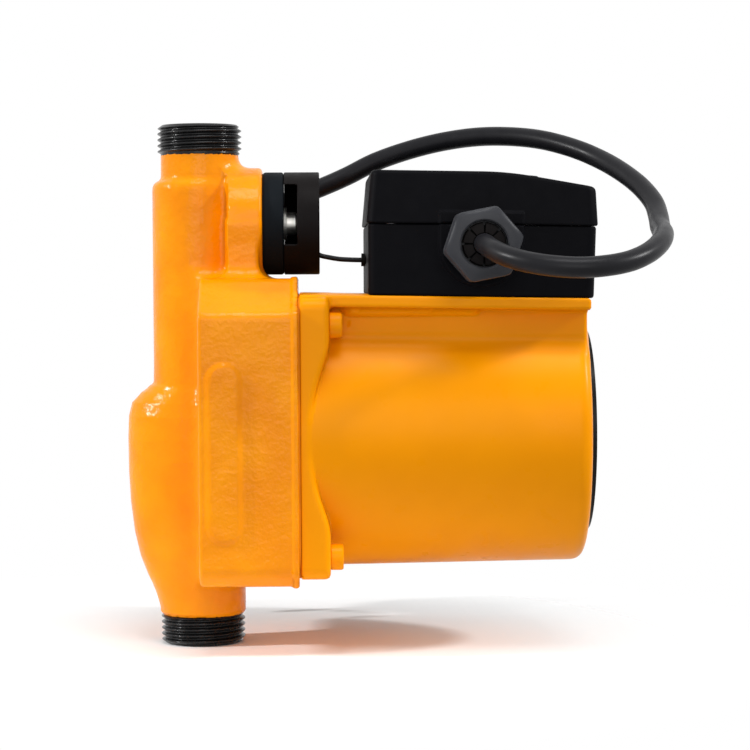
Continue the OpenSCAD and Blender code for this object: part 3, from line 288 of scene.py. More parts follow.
def ground(name, rows, finish, node_names, body="pump", crease=35, loop=False):
    """A tube from rows of points, outward faces, smooth apart from edges sharper than crease."""
    sides = len(rows[0])
    obj = mesh_object(
        name, [p for row in rows for p in row], ring_faces(len(rows), sides, loop),
        finish, node_names, body,
    )
    bm = bmesh.new()
    bm.from_mesh(obj.data)
    bmesh.ops.recalc_face_normals(bm, faces=bm.faces)
    bm.to_mesh(obj.data)
    bm.free()
    obj.data.shade_smooth()
    obj.data.set_sharp_from_angle(angle=math.radians(crease))
    return obj


def tube_rows(points, radius, sides, steps):
    """Rings along a smooth line through points in millimetres, and the line itself."""
    knots = [np.array(p, float) for p in points]
    knots = [2 * knots[0] - knots[1]] + knots + [2 * knots[-1] - knots[-2]]
    line = []
    for i in range(1, len(knots) - 2):
        a, b, c, d = knots[i - 1:i + 3]
        for s in range(steps):
            t = s / steps
            line.append(0.5 * (
                2 * b + (c - a) * t + (2 * a - 5 * b + 4 * c - d) * t * t
                + (3 * b - a - 3 * c + d) * t ** 3
            ))
    line.append(knots[-2])
    line = np.array(line)
    tangent = np.gradient(line, axis=0)
    tangent /= np.linalg.norm(tangent, axis=1)[:, None]
    side = np.cross(tangent[0], (0, 0, 1) if abs(tangent[0][2]) < 0.9 else (0, 1, 0))
    rows = []
    for centre, t in zip(line, tangent):
        side = side - np.dot(side, t) * t
        side /= np.linalg.norm(side)
        up = np.cross(t, side)
        rows.append([
            tuple(centre + radius * (math.cos(a) * side + math.sin(a) * up))
            for a in (2 * math.pi * j / sides for j in range(sides))
        ])
    return rows, line


# The mains lead, in millimetres: from inside the gland, round the box, into the coil and the plug
CABLE_D = 6.1
CABLE_POINTS = [
    (84.6, -31, 122.2), (84.6, -42, 122.2), (84.6, -52, 122.2), (85.9, -60.1, 120.7),
    (89.4, -66.9, 118.6), (95, -72.2, 116.8), (102, -75.6, 115.6), (109.8, -76.7, 115.1),
    (117.5, -75.4, 115.6), (124.4, -71.8, 116.9), (130.2, -66.1, 119.2), (134.5, -58.3, 122),
    (136.9, -49.2, 124.7), (137.4, -39, 127), (138, -30.4, 130.5), (137.6, -22.4, 135),
    (134.7, -12.8, 140.3), (129.9, -3.2, 145.3), (124.3, 5.9, 149.5), (117.3, 13.1, 153.1),
    (108.4, 20.3, 156.1), (99.1, 26.2, 157.6), (88.6, 31.3, 157.9), (77.6, 35.7, 156.7),
    (66.6, 39, 154.2), (55.5, 41.8, 150.5), (46.1, 43.4, 145.9), (37.3, 46, 142.2),
    (28.8, 46.5, 139), (21.8, 46.4, 134.5), (16.9, 46.5, 128.2), (14.1, 46.9, 120.7),
    (13.8, 47.5, 112.8), (16, 48.2, 105.1), (20.8, 49, 98.2), (27.4, 48.8, 91.5),
    (31.8, 48, 84.6), (33.8, 47.5, 76.5), (33.8, 47.5, 68.5),
]
TAIL_POINTS = [
    (67.9, 54.3, 102.6), (62, 54.3, 102.6), (52, 54.8, 102.9), (42, 56, 103.6), (33, 57.6, 103.6),
    (25, 59.4, 101.4), (17.6, 61.2, 96.4), (12.4, 62.4, 90), (10.4, 62.9, 85.4), (10, 63, 82.4),
    (10, 63, 79.4),
]
COIL_CENTRE = (74, 47.5, 62.4)
COIL_R = 40.2
COIL_STEP = 6.8
COIL_TURNS = 4.75
COIL_RINGS = 24


def coil_point(turn):
    """Centre of the coil's cable after a number of turns: in on one layer, out on the next."""
    r = COIL_R - COIL_STEP * min(turn, COIL_TURNS - turn)
    climb = min(max((turn - COIL_TURNS / 2) * 2 + 0.5, 0), 1)
    a = math.radians(180 + 360 * turn)
    return (
        COIL_CENTRE[0] + r * math.cos(a),
        COIL_CENTRE[1] + COIL_STEP * climb,
        COIL_CENTRE[2] + r * math.sin(a),
    )


coil_points = [coil_point(k / COIL_RINGS) for k in range(int(COIL_TURNS * COIL_RINGS) + 1)]
cable_rows, cable_path = tube_rows(CABLE_POINTS + coil_points + TAIL_POINTS, CABLE_D / 2, 28, 5)
mains_cable = ground(
    "mains_cable", cable_rows, "cable_jacket", ["power_cable", "cable_coil", "cable_tail"]
)


# Cast and moulded skins. A copy of the node's mesh is rebuilt in small even cells, then each outside
# point is moved onto a form given by a distance function, which rounds every edge and corner.
SHAFT_Z = 65.2


def smin(a, b, k):
    """The lower of two values, blended smoothly where they differ by less than k."""
    h = np.clip(0.5 + 0.5 * (b - a) / k, 0, 1)
    return b * (1 - h) + a * h - k * h * (1 - h)


def smax(a, b, k):
    return -smin(-a, -b, k)


def smax_all(k, *values):
    total = values[0]
    for value in values[1:]:
        total = smax(total, value, k)
    return total


def slope(form, p, step=0.02):
    """Gradient of a form at points in millimetres."""
    g = np.empty_like(p)
    for axis in range(3):
        d = np.zeros(3)
        d[axis] = step
        g[:, axis] = (form(p + d) - form(p - d)) / (2 * step)
    return g


def points_of(mesh):
    co = np.empty(len(mesh.vertices) * 3, np.float32)
    mesh.vertices.foreach_get("co", co)
    return co.reshape(-1, 3).astype(float) / MM


def set_points(mesh, p):
    mesh.vertices.foreach_set("co", (p * MM).astype(np.float32).ravel())
    mesh.update()


def edges_of(mesh):
    e = np.empty(len(mesh.edges) * 2, np.int32)
    mesh.edges.foreach_get("vertices", e)
    return e.reshape(-1, 2)


def neighbour_mean(p, e):
    total = np.zeros_like(p)
    count = np.zeros(len(p))
    for a, b in ((0, 1), (1, 0)):
        np.add.at(total, e[:, a], p[e[:, b]])
        np.add.at(count, e[:, a], 1)
    return total / np.maximum(count, 1)[:, None]


def even_cells(name, sources, cell_mm):
    """A new object whose mesh is the sources' joined volume in cells of one size."""
    bm = bmesh.new()
    for source in sources:
        bm.from_mesh(source.data)
    bmesh.ops.remove_doubles(bm, verts=bm.verts, dist=1e-6)
    mesh = bpy.data.meshes.new(name)
    bm.to_mesh(mesh)
    bm.free()
    obj = bpy.data.objects.new(name, mesh)
    scene.collection.objects.link(obj)
    remesh = obj.modifiers.new("cells", "REMESH")
    remesh.mode = "VOXEL"
    remesh.voxel_size = cell_mm * MM
    ready = bpy.data.meshes.new_from_object(
        obj.evaluated_get(bpy.context.evaluated_depsgraph_get())
    )
    obj.modifiers.clear()
    obj.data = ready
    bpy.data.meshes.remove(mesh)
    ready.name = name
    return obj


SETTLE_ROUNDS = 3
SMOOTH_ROUNDS = 3


def settle(obj, form, reach):
    """Moves the points within reach of the form onto it and gives the mesh the form's normals."""
    mesh = obj.data
    p = points_of(mesh)
    e = edges_of(mesh)
    near = np.abs(form(p)) < reach
    for _ in range(SETTLE_ROUNDS):
        mean = neighbour_mean(p, e)
        g = slope(form, p[near])
        g /= np.maximum(np.linalg.norm(g, axis=1), 1e-9)[:, None]
        shift = 0.5 * (mean[near] - p[near])
        p[near] += shift - (shift * g).sum(1)[:, None] * g
        for _ in range(2):
            q = p[near]
            g = slope(form, q)
            size = np.maximum((g * g).sum(1), 0.05)
            move = (form(q) / size)[:, None] * g
            p[near] = q - np.clip(move, -0.8, 0.8)
    # The points further in are only smoothed, to lose the stair steps of the cells
    inside = ~near
    for _ in range(SMOOTH_ROUNDS):
        mean = neighbour_mean(p, e)
        p[inside] += 0.5 * (mean[inside] - p[inside])
    set_points(mesh, p)
    mesh.shade_smooth()
    normals = np.empty(len(mesh.vertices) * 3, np.float32)
    mesh.vertex_normals.foreach_get("vector", normals)
    normals = normals.reshape(-1, 3)
    g = slope(form, p[near])
    g /= np.maximum(np.linalg.norm(g, axis=1), 1e-9)[:, None]
    agree = (g * normals[near]).sum(1) > 0.3
    keep = normals[near]
    keep[agree] = g[agree]
    normals[near] = keep
    mesh.normals_split_custom_set_from_vertices(normals)


# Casing
BLOCK = {"x0": 0.7, "x1": 30.2, "half": 43.0, "low": 21.2, "top": 112.6}
BULGE = np.array([
    (0, 0.53, 0.73), (0.07, 0.63, 0.76), (0.14, 0.742, 0.8), (0.23, 0.848, 0.86),
    (0.34, 0.924, 0.92), (0.47, 0.972, 0.97), (0.6, 0.994, 1), (0.75, 1, 1),
    (0.85, 0.99, 0.96), (0.91, 0.945, 0.87), (0.955, 0.815, 0.74), (0.985, 0.63, 0.58),
    (1, 0.4, 0.36),
])
PORT_TO_PORT = 160
NECK_R = 12.0
THREAD_SINK = 0.4
THREAD_LEN = 8.8
COLUMN_R = 13.4
COLUMN_SHIFT = 1.3
COLUMN_TOP = 143
COLUMN_FOOT = 60
BULGE_FOOT = 11
BULGE_TOP = 80.8
BULGE_REACH = 22.8
BULGE_HALF = 16.5
BAND_X, BAND_R, BAND_TOP = 8.2, 5.1, 43.85
BAND_LOW, BAND_HIGH = 39.5, 82.5
BOSS_R = 17.2
SWITCH_Z = 129.6
BOSS_X = 19.4


def block_form(y, z, grow, k):
    ay = np.abs(y)
    shoulder = ((ay - 28 - grow / 2) * 10.6 + (z - BLOCK["top"] - grow) * 15) / math.hypot(10.6, 15)
    lower = ((ay - 38.8 - grow / 2) + (BLOCK["low"] - grow - z)) / math.sqrt(2)
    return smax_all(
        k, ay - BLOCK["half"] - grow, z - BLOCK["top"] - grow, BLOCK["low"] - grow - z,
        shoulder, lower,
    )


def casing_form(p):
    x, y, z = p.T
    from_end = PORT_TO_PORT / 2 - np.abs(z - PORT_TO_PORT / 2)
    neck_r = np.where(from_end < THREAD_LEN + 0.3, NECK_R - THREAD_SINK, NECK_R)
    neck = smax(np.hypot(x, y) - neck_r, 0.1 - from_end, 0.3)
    column = smax(np.hypot(x + COLUMN_SHIFT, y) - COLUMN_R, z - COLUMN_TOP, 3.2)
    column = np.maximum(column, COLUMN_FOOT - z)
    t = np.clip((z - BULGE_FOOT) / (BULGE_TOP - BULGE_FOOT), 0, 1)
    reach = np.interp(t, BULGE[:, 0], BULGE[:, 1]) * BULGE_REACH
    half = np.interp(t, BULGE[:, 0], BULGE[:, 2]) * BULGE_HALF
    wide = np.where(x < 0, reach, NECK_R)
    bulge = (np.hypot(x / wide, y / half) - 1) * np.minimum(wide, half)
    bulge = smax(bulge, z - BULGE_TOP, 2.5)
    bulge = np.maximum(bulge, BULGE_FOOT - z)
    block = smax_all(1.3, block_form(y, z, 0, 1.6), BLOCK["x0"] - x, x - BLOCK["x1"])
    lip = smax_all(0.35, block_form(y, z, 0.5, 1.4), 28.3 - x, x - BLOCK["x1"])
    zc = np.clip(z, BAND_LOW, BAND_HIGH)
    band = smax(np.hypot(x - BAND_X, z - zc) - BAND_R, np.abs(y) - BAND_TOP, 1.6)
    boss = smax(np.hypot(y, z - SWITCH_Z) - BOSS_R, x - BOSS_X, 1.6)
    boss = np.maximum(boss, 9 - x)
    web = smax_all(1.6, np.abs(y) - BOSS_R, z - SWITCH_Z, 101 - z, x - 18.4)
    web = np.maximum(web, 9 - x)
    body = smin(neck, column, 1.2)
    body = smin(body, bulge, 5)
    boss = smin(boss, web, 1.5)
    body = smin(body, boss, 4)
    block = smin(block, band, 0.9)
    block = np.minimum(block, lip)
    return smin(body, block, 5.2)


# Motor housing
FLANGE_X = 30.7
PLATFORM_Z = 107.8
BOX_TILT = math.radians(1.1)
BOX_START = 20.1
PAD_X = 39.5
BARREL_X = 33.9
MOTOR_END = 117.6
FLANGE_HALF = 41.8
BOLT_HALF = 34.5
BOLT_FALL = 1.0
BARREL_R, BARREL_END_R = 41.5, 40.4
SCOOP_R = 61


def above_platform(x, z):
    """Height above the tilted platform plane."""
    return (x - FLANGE_X) * math.sin(BOX_TILT) + (z - PLATFORM_Z) * math.cos(BOX_TILT)


def housing_form(p):
    x, y, z = p.T
    zz = z - SHAFT_Z
    r = np.hypot(y, zz)
    barrel_r = BARREL_R + (BARREL_END_R - BARREL_R) * (x - BARREL_X) / (MOTOR_END - BARREL_X)
    barrel = smax(r - barrel_r, x - MOTOR_END, 4.2)
    barrel = np.maximum(barrel, BARREL_X - 3 - x)
    corner = 3.9
    qy, qz = np.abs(y) - FLANGE_HALF + corner, np.abs(zz) - FLANGE_HALF + corner
    plate = np.hypot(np.maximum(qy, 0), np.maximum(qz, 0)) + np.minimum(np.maximum(qy, qz), 0) - corner
    rim = smax(plate, FLANGE_X - x, 0.6)
    scoop_y = SCOOP_R - np.hypot(x - BARREL_X - SCOOP_R, y)
    scoop_z = SCOOP_R - np.hypot(x - BARREL_X - SCOOP_R, zz)
    flange = smax_all(1.9, rim, x - PAD_X, scoop_y, scoop_z)
    above = above_platform(x, z)
    table = smax_all(0.9, above, np.abs(y) - 37, -3.6 - above, FLANGE_X - x, x - MOTOR_END + 0.35)
    waist = smax_all(1.5, above, np.abs(y) - 30, -12 - above, FLANGE_X - x, x - MOTOR_END + 1.0)
    saddle = smax_all(1.0, above, np.abs(y) - 30, -zz, FLANGE_X - x, x - MOTOR_END + 1.2)
    body = smin(barrel, flange, 0.7)
    body = smin(body, smin(waist, saddle, 1.0), 2.0)
    body = smin(body, table, 1.0)
    for sy in (-1, 1):
        for sz in (-1, 1):
            reach = np.hypot(y - sy * BOLT_HALF, zz + BOLT_FALL - sz * BOLT_HALF)
            pocket = np.maximum(np.maximum(reach - 4.2, PAD_X - x), x - 45.3)
            body = smax(body, -pocket, 0.5)
            hole = np.maximum(reach - 2.8, x - PAD_X - 1)
            body = smax(body, -hole, 0.2)
    return body


casing_skin = even_cells("casing_skin", [nodes["pump_casing"]], 0.8)
settle(casing_skin, casing_form, 2.0)
casing_skin.data.materials.append(finishes["casing_paint"])
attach(casing_skin, "pump")
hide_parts("pump_casing")

housing_skin = even_cells("housing_skin", [nodes["motor_housing"]], 0.9)
settle(housing_skin, housing_form, 1.6)
housing_skin.data.materials.append(finishes["motor_paint"])
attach(housing_skin, "pump")
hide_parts("motor_housing")


# Threaded ends
THREAD_PITCH = 1.814
THREAD_CREST = 12.95
THREAD_ROOT = 11.95


def threaded_end(name, flip):
    """A port's bare threaded end with its chamfer, run-out, bore and face."""
    sides = 144
    rows = []
    outer = np.arange(0, THREAD_LEN + 0.9, THREAD_PITCH / 14)
    for h in outer:
        ring = []
        for j in range(sides):
            a = 2 * math.pi * j / sides
            phase = (h / THREAD_PITCH - j / sides) % 1.0
            wave = abs(2 * phase - 1)
            wave = min(max((wave - 0.14) / 0.72, 0), 1)
            wave = wave * wave * (3 - 2 * wave) * 0.35 + wave * 0.65
            r = THREAD_ROOT + (THREAD_CREST - THREAD_ROOT) * wave
            lead = THREAD_ROOT - 0.35 + h * 1.25
            fade = min(max((THREAD_LEN + 0.4 - h) / 0.9, 0), 1)
            r = THREAD_ROOT + (r - THREAD_ROOT) * fade
            r = min(r, max(lead, THREAD_ROOT - 0.35))
            ring.append((r * math.cos(a), r * math.sin(a), h))
        rows.append(ring)
    for r, h in ((11.8, 9.8), (9.0, 9.8), (9.0, 0.4), (9.35, 0.0), (11.5, 0.0)):
        rows.append([
            (r * math.cos(2 * math.pi * j / sides), r * math.sin(2 * math.pi * j / sides), h)
            for j in range(sides)
        ])
    if flip:
        rows = [[(x, -y, PORT_TO_PORT - z) for x, y, z in ring] for ring in rows]
    ground(name, rows, "port_metal", [], loop=True, crease=50)


threaded_end("inlet_thread", False)
threaded_end("outlet_thread", True)


# Round parts whose axis lies along X, from (X, radius) pairs
def turned_x(name, profile, y, z, finish, node_names, sides=96, loop=False):
    rows = [
        [
            (x, y + r * math.cos(2 * math.pi * j / sides), z + r * math.sin(2 * math.pi * j / sides))
            for j in range(sides)
        ]
        for x, r in profile
    ]
    ground(name, rows, finish, node_names, loop=loop)


def arc_pairs(cx, cy, r, a0, a1, n=6):
    return [
        (cx + r * math.cos(math.radians(a0 + (a1 - a0) * i / n)),
         cy + r * math.sin(math.radians(a0 + (a1 - a0) * i / n)))
        for i in range(n + 1)
    ]


# Terminal box, in the tilted frame of the motor's platform
BOX_FRAME = (
    Matrix.Translation((FLANGE_X, 0, PLATFORM_Z)) @ Matrix.Rotation(BOX_TILT, 4, "Y")
    @ Matrix.Translation((BOX_START, 0, 0))
)
BOX_BACK = np.array(BOX_FRAME.inverted())
BOX_LEN, BOX_HALF, BASE_H = 67.8, 36.8, 21.4
LID_H, LID_OVERHANG, RAMP_START = 15.8, 0.5, 41
KNOB_X = 45.8
KNOB_FLOOR = 13.2
GLAND_X, GLAND_Z = 33.5, 15.4
PAD_HALF = 12.5
PAD_TOP = 25.2
GLAND_HOLE_R = 7.65
SEAT_R, STEM_HOLE_R = 8.1, 4.5
SCREW_X, SCREW_Y, SCREW_WELL_R = 7, 29.8, 2.9


def in_box(p):
    return (p @ BOX_BACK[:3, :3].T + BOX_BACK[:3, 3]).T


def rounded_plan(x, y, x0, x1, half, corner, draft_x, draft_y):
    """Distance to an upright wall with round corners, drawn in by drafts."""
    cx, hx = (x0 + x1) / 2, (x1 - x0) / 2
    qx = np.abs(x - cx) - (hx - draft_x) + corner
    qy = np.abs(y) - (half - draft_y) + corner
    return np.hypot(np.maximum(qx, 0), np.maximum(qy, 0)) + np.minimum(np.maximum(qx, qy), 0) - corner


def pad_form(x, y, z):
    """The raised round pad round the gland, straight above its middle."""
    dx = x - GLAND_X
    dz = np.minimum(z - GLAND_Z, 0)
    disc = np.hypot(dx, dz) - PAD_HALF
    return smax_all(0.5, disc, -BOX_HALF - 1 - y, y + BOX_HALF - 2, z - PAD_TOP)


def base_form(p):
    x, y, z = in_box(p)
    lean = 0.35 * (BASE_H - z) / BASE_H
    wall = rounded_plan(x, y, 0, BOX_LEN, BOX_HALF, 3, lean, lean)
    body = smax_all(0.9, wall, -z)
    body = smax_all(0.45, body, z - BASE_H + 0.12)
    pad = smax(pad_form(x, y, z), z - BASE_H + 0.12, 0.3)
    body = smin(body, pad, 0.5)
    hole = np.hypot(x - GLAND_X, z - GLAND_Z) - GLAND_HOLE_R
    return smax(body, -np.maximum(hole, y + 30), 0.2)


def lid_form(p):
    x, y, z = in_box(p)
    h = z - BASE_H
    lean = 1.1 * h / LID_H
    wall = rounded_plan(
        x, y, -LID_OVERHANG, BOX_LEN + LID_OVERHANG, BOX_HALF + LID_OVERHANG, 3.2, lean, lean
    )
    fall = (LID_H - 11.2) / (BOX_LEN + 2.2 - RAMP_START)
    ramp = (h - LID_H + (x - RAMP_START) * fall) / math.hypot(1, fall)
    top = smax(h - LID_H, ramp, 1.2)
    body = smax(wall, top, 1.5)
    body = smax(body, 0.1 - h, 0.5)
    pad = smax_all(0.3, pad_form(x, y, z), 0.1 - h)
    body = smin(body, pad, 0.5)
    seat = np.hypot(x - KNOB_X, y)
    body = smax(body, -np.maximum(seat - SEAT_R, KNOB_FLOOR - h), 0.4)
    hole = np.hypot(x - GLAND_X, z - GLAND_Z) - GLAND_HOLE_R
    body = smax(body, -np.maximum(hole, y + 30), 0.2)
    screws = np.hypot(x - SCREW_X, np.abs(y) - SCREW_Y) - SCREW_WELL_R
    body = smax(body, -np.maximum(screws, 13.6 - h), 0.3)
    return smax(body, STEM_HOLE_R - seat, 0.2)


box_base_skin = even_cells("box_base_skin", [nodes["box_base"]], 0.62)
settle(box_base_skin, base_form, 0.9)
finish_piece(box_base_skin, "box_plastic", ["box_base"])
box_lid_skin = even_cells("box_lid_skin", [nodes["box_lid"]], 0.62)
settle(box_lid_skin, lid_form, 0.9)
finish_piece(box_lid_skin, "box_plastic", ["box_lid"])


# Mode knob: a low round dome with a pointer notch
def knob_rows(sides=120):
    profile = [(7.8, 0), (7.8, 1.9)] + arc_pairs(7.0, 2.0, 0.8, 0, 70, 6)
    profile += [(6.2, 2.86), (4.5, 2.98), (2.5, 3.05), (0.6, 3.08)]
    rows = []
    for r, h in profile:
        ring = []
        for j in range(sides):
            a = 2 * math.pi * j / sides
            x, y, z = r * math.cos(a), r * math.sin(a), h
            notch = smax_scalar(abs(y) - 1.2, 4.2 - x, 0.5)
            if h > 1.8 and notch < 0:
                z = min(z, 1.8)
            ring.append((x, y, z))
        rows.append(ring)
    return rows


def smax_scalar(a, b, k):
    return float(smax(np.array(a), np.array(b), k))


def from_box(rows, x, y, z):
    """Rows of points in a local frame with Z up, put at a place in the box's frame."""
    place = BOX_FRAME @ Matrix.Translation((x, y, z))
    return [[tuple(place @ Vector(p)) for p in ring] for ring in rows]


def shaft_rows(r, z0, z1, sides=120):
    angles = [2 * math.pi * j / sides for j in range(sides)]
    return [[(r * math.cos(a), r * math.sin(a), z) for a in angles] for z in (z0, z1)]


knob_profile_rows = shaft_rows(4.2, -7, 0) + knob_rows()
ground(
    "selector_knob", from_box(knob_profile_rows, KNOB_X, 0, BASE_H + KNOB_FLOOR + 0.05),
    "box_plastic", ["mode_knob"], body="selector",
)


# Cable gland, in its own frame: Z into the box along world +Y
GLAND_FRAME = (
    BOX_FRAME @ Matrix.Translation((GLAND_X, -BOX_HALF - 1, GLAND_Z))
    @ Matrix.Rotation(-math.pi / 2, 4, "X")
)
HEX_FLAT = 10.3
HEX_TURN = 48
CLAW_COUNT = 8


def hex_radius(a, corner):
    """Radius of a hexagon with rounded corners at an angle."""
    k = (math.degrees(a) - HEX_TURN) % 60 - 30
    flat = HEX_FLAT / math.cos(math.radians(k))
    return float(smin(np.array(flat), np.array(corner), 0.5))


def gland_rows(profile, sides=144):
    """Rows from (z, corner radius, inset) for hexagons or (z, None, radius) for circles."""
    rows = []
    for z, corner, size in profile:
        ring = []
        for j in range(sides):
            a = 2 * math.pi * j / sides
            r = size if corner is None else hex_radius(a, corner) - size
            ring.append(tuple(GLAND_FRAME @ Vector((r * math.cos(a), r * math.sin(a), z))))
        rows.append(ring)
    return rows


nut_profile = [
    (-4.1, None, 8.3), (-4.1, 11.4, 0.5), (-4.5, 11.62, 0.0), (-12.0, 11.62, 0.0), (-12.8, 11.45, 0.25),
    (-13.3, 10.75, 0.8), (-13.6, None, 8.6), (-13.6, None, 7.3), (-13.3, None, 6.9), (-12.6, None, 6.8),
    (-10.6, None, 6.8), (-10.6, None, 8.3),
]
ground("gland_nut_skin", gland_rows(nut_profile), "gland_plastic", ["gland_nut"], loop=True, crease=28)
body_profile = [
    (8.0, None, 3.65), (8.0, None, 7.6), (0.0, None, 7.6), (0.0, 11.5, 0.4), (-0.4, 11.65, 0.0),
    (-3.6, 11.65, 0.0), (-4.0, 11.5, 0.4), (-4.0, None, 8.2), (-10.5, None, 8.2), (-10.5, None, 5.65),
    (-5.5, None, 5.65), (-5.5, None, 3.65),
]
ground("gland_body_skin", gland_rows(body_profile), "gland_plastic", ["gland_body"], loop=True, crease=28)


def claw(k):
    """One clamping finger, thinner toward its tip, in darker plastic as painted shade of the gland's hole.
    """
    half = math.pi / CLAW_COUNT - 0.06
    mid = 2 * math.pi / CLAW_COUNT * (k + 0.5)
    rows = []
    for z, r0, r1 in ((-10.5, 3.3, 6.4), (-12.0, 3.25, 6.4), (-12.9, 3.2, 6.1), (-13.2, 3.35, 5.2)):
        ring = []
        for i in range(9):
            a = mid - half + 2 * half * i / 8
            ring.append((r1 * math.cos(a), r1 * math.sin(a), z))
        for i in range(8, -1, -1):
            a = mid - half + 2 * half * i / 8
            ring.append((r0 * math.cos(a), r0 * math.sin(a), z))
        rows.append([tuple(GLAND_FRAME @ Vector(p)) for p in ring])
    # The fingers take the darker switch plastic instead of the gland's grey: painted shade for the depth of
    # the gland's hole
    ground(f"gland_claw_{k}", rows, "switch_plastic", ["gland_body"], crease=30)


for k in range(CLAW_COUNT):
    claw(k)


# Flow switch
def cap_form(p):
    x, y, z = p.T
    r = np.hypot(y, z - SWITCH_Z)
    shell = smax_all(0.5, r - 15.8, 25.95 - x, x - 36.9)
    inner = np.maximum(r - 14.2, x - 35.3)
    shell = smax(shell, -inner, 0.3)
    window = smax_all(0.5, x - 30.1, y + 1, 123 - z, z - 141.2)
    shell = smax(shell, -window, 0.35)
    rib = smax_all(0.3, r - 15.5, 14.0 - r, x - 30.6, 25.9 - x, np.abs(z - 138.2) - 0.35, y + 1)
    return smin(shell, rib, 0.2)


cap_skin = even_cells("switch_cap_skin", [nodes["switch_cap"]], 0.42)
settle(cap_skin, cap_form, 0.5)
finish_piece(cap_skin, "switch_plastic", ["switch_cap"])
base_profile = [
    (BOSS_X, 3.6), (BOSS_X, 15.2), (19.9, 15.65), (20.4, 15.8), (25.2, 15.8), (25.6, 15.65),
    (25.9, 15.2), (25.9, 3.6),
]
turned_x(
    "switch_base_skin", base_profile, 0, SWITCH_Z, "switch_disc", ["switch_base"],
    loop=True,
)
stem_profile = [
    (16.1, 0.05), (16.1, 3.2), (16.4, 3.5), (25.9, 3.5), (25.9, 5.0), (26.7, 5.1), (26.8, 4.9), (26.8, 3.5),
    (29.5, 3.5), (30.1, 3.0), (33.0, 3.0), (33.3, 2.6), (17.0, 2.6), (17.0, 0.05),
]
turned_x("switch_stem_skin", stem_profile, 0, SWITCH_Z, "nickel", ["switch_stem"], sides=64)


# Bolts of the motor flange: round heads with a round recess
def bolt(name, y, z):
    profile = [
        (18.5, 0.05), (18.5, 2.2), (18.9, 2.5), (PAD_X, 2.5), (PAD_X, 3.7), (39.7, 3.9), (42.6, 3.9),
        (43.05, 3.75), (43.3, 3.4), (43.3, 2.35), (43.1, 2.2), (41.3, 2.1), (41.1, 0.05),
    ]
    turned_x(name, profile, y, z, "motor_paint", ["housing_bolts"], sides=48)


for k, (sy, sz) in enumerate(((-1, -1), (-1, 1), (1, -1), (1, 1))):
    bolt(f"flange_bolt_{k}", sy * BOLT_HALF, SHAFT_Z - BOLT_FALL + sz * BOLT_HALF)


# Thin lead of the flow switch
lead_rows, _ = tube_rows(
    [
        (35.9, 0, 120.4), (37.3, 0, 119.6), (40, 0, 119), (43, 0, 118.5), (46, 0, 118.3),
        (49, 0, 118.2), (52.4, 0, 118.2),
    ],
    0.75, 16, 6,
)
ground("sensor_wire", lead_rows, "cable_jacket", ["sensor_lead"])


# Plug with a ribbed relief and a grip waist
PLUG_X, PLUG_Y, PLUG_TOP = 10, 63, 79.4


def plug_rows(sides=96):
    profile = [(3.2, PLUG_TOP), (3.9, PLUG_TOP - 0.6)]
    for k in range(8):
        z = PLUG_TOP - 1.6 - 2.2 * k
        r = 4.2 + 0.18 * k
        profile += [(r, z), (r, z - 0.9), (r - 0.6, z - 1.1), (r - 0.6, z - 1.7)]
    profile += [(5.6, 59.7), (8.5, 58.5), (11.5, 56.9), (14.6, 54.4), (16.8, 51.9), (17.6, 49.2)]
    profile += [(17.0, 46.6), (16.8, 44.0), (17.4, 41.4), (18.0, 39.6), (18.0, 34.6), (17.6, 33.7)]
    profile += [(16.9, 33.4), (7.6, 33.4), (7.2, 33.8), (7.2, 35.4), (0.05, 35.4)]
    angles = [2 * math.pi * j / sides for j in range(sides)]
    return [
        [(PLUG_X + r * math.cos(a), PLUG_Y + r * math.sin(a), z) for a in angles] for r, z in profile
    ]


plug_skin = ground(
    "plug_skin", [list(reversed(r)) for r in plug_rows()], "plug_plastic", ["power_plug"]
)


# Pale floor, white surroundings and soft studio lamps
FLOOR_Z = -0.0002
FADE_START, FADE_END = 0.04, 0.2
WORLD_LIGHT = 0.4


def white_to_view(tree):
    """A value of 1 for the camera, glossy and transmission rays, which are to see plain white."""
    path = tree.nodes.new("ShaderNodeLightPath")
    seen = path.outputs["Is Camera Ray"]
    for other in ("Is Glossy Ray", "Is Transmission Ray"):
        either = tree.nodes.new("ShaderNodeMath")
        either.operation = "MAXIMUM"
        tree.links.new(seen, either.inputs[0])
        tree.links.new(path.outputs[other], either.inputs[1])
        seen = either.outputs[0]
    return seen


floor_mesh = bpy.data.meshes.new("floor")
floor_mesh.from_pydata(
    [(-6, -3, FLOOR_Z), (6, -3, FLOOR_Z), (6, 9, FLOOR_Z), (-6, 9, FLOOR_Z)], [], [(0, 1, 2, 3)]
)
floor = bpy.data.objects.new("floor", floor_mesh)
scene.collection.objects.link(floor)
floor_shade = Shade("floor", roughness=0.9)
floor_shade.colour((0.96, 0.96, 0.96))
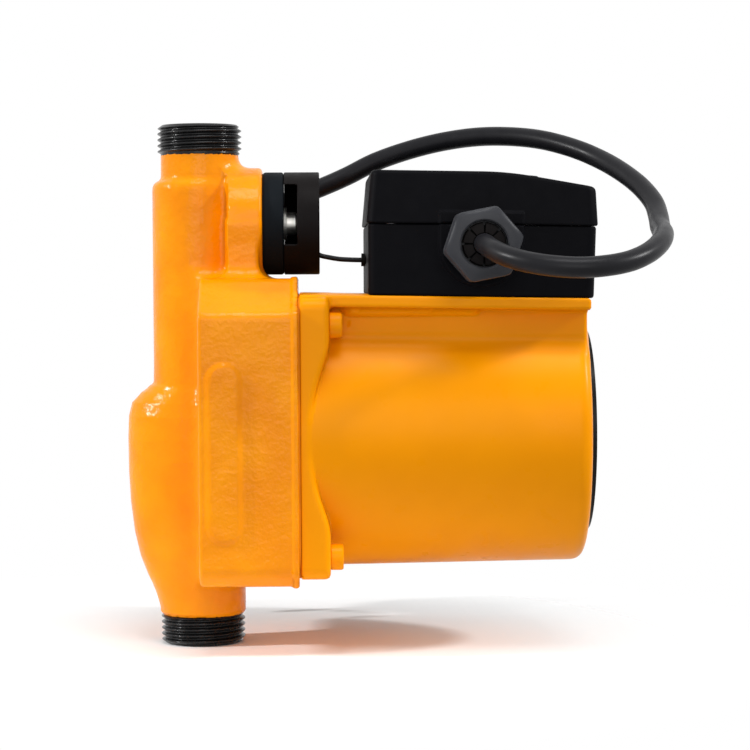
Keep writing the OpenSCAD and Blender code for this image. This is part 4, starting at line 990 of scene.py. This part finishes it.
# The floor fades out with distance from its middle, where only the white world is left
fall_off = floor_shade.tree.nodes.new("ShaderNodeVectorMath")
fall_off.operation = "LENGTH"
floor_shade.join(floor_shade.place, fall_off.inputs[0])
clear = floor_shade.tree.nodes.new("ShaderNodeBsdfTransparent")
fade = floor_shade.tree.nodes.new("ShaderNodeMixShader")
spread = floor_shade.tree.nodes.new("ShaderNodeMapRange")
spread.interpolation_type = "SMOOTHSTEP"
spread.inputs["From Min"].default_value = FADE_START
spread.inputs["From Max"].default_value = FADE_END
floor_shade.join(fall_off.outputs["Value"], spread.inputs["Value"])
floor_shade.join(spread.outputs["Result"], fade.inputs[0])
floor_shade.join(floor_shade.shader.outputs[0], fade.inputs[1])
floor_shade.join(clear.outputs[0], fade.inputs[2])
floor_shade.join(fade.outputs[0], floor_shade.tree.nodes["Material Output"].inputs["Surface"])
floor_mesh.materials.append(floor_shade.mat)

world = bpy.data.worlds.new("studio")
scene.world = world
world.use_nodes = True
tree = world.node_tree
plain = tree.nodes["Background"]
plain.inputs["Color"].default_value = (1, 1, 1, 1)
plain.inputs["Strength"].default_value = WORLD_LIGHT
white = tree.nodes.new("ShaderNodeBackground")
white.inputs["Color"].default_value = (1, 1, 1, 1)
white.inputs["Strength"].default_value = 1.0
blend = tree.nodes.new("ShaderNodeMixShader")
tree.links.new(white_to_view(tree), blend.inputs[0])
tree.links.new(plain.outputs[0], blend.inputs[1])
tree.links.new(white.outputs[0], blend.inputs[2])
tree.links.new(blend.outputs[0], tree.nodes["World Output"].inputs["Surface"])


def lamp(name, place, target, size, power):
    data = bpy.data.lights.new(name, "AREA")
    data.shape = "RECTANGLE"
    data.size, data.size_y = size
    data.energy = power
    obj = bpy.data.objects.new(name, data)
    scene.collection.objects.link(obj)
    obj.location = place
    obj.rotation_euler = (Vector(target) - Vector(place)).to_track_quat("-Z", "Y").to_euler()


centre = (0.06, 0, 0.08)
lamp("front", (0.1, -1.7, 0.5), centre, (1.1, 0.9), 7.2)
lamp("left", (-0.78, -0.16, 0.5), centre, (0.05, 0.12), 6)
lamp("right", (0.9, -0.12, 0.6), centre, (0.05, 0.12), 6)
lamp("top", (0.15, -0.35, 0.9), centre, (0.5, 0.3), 4)
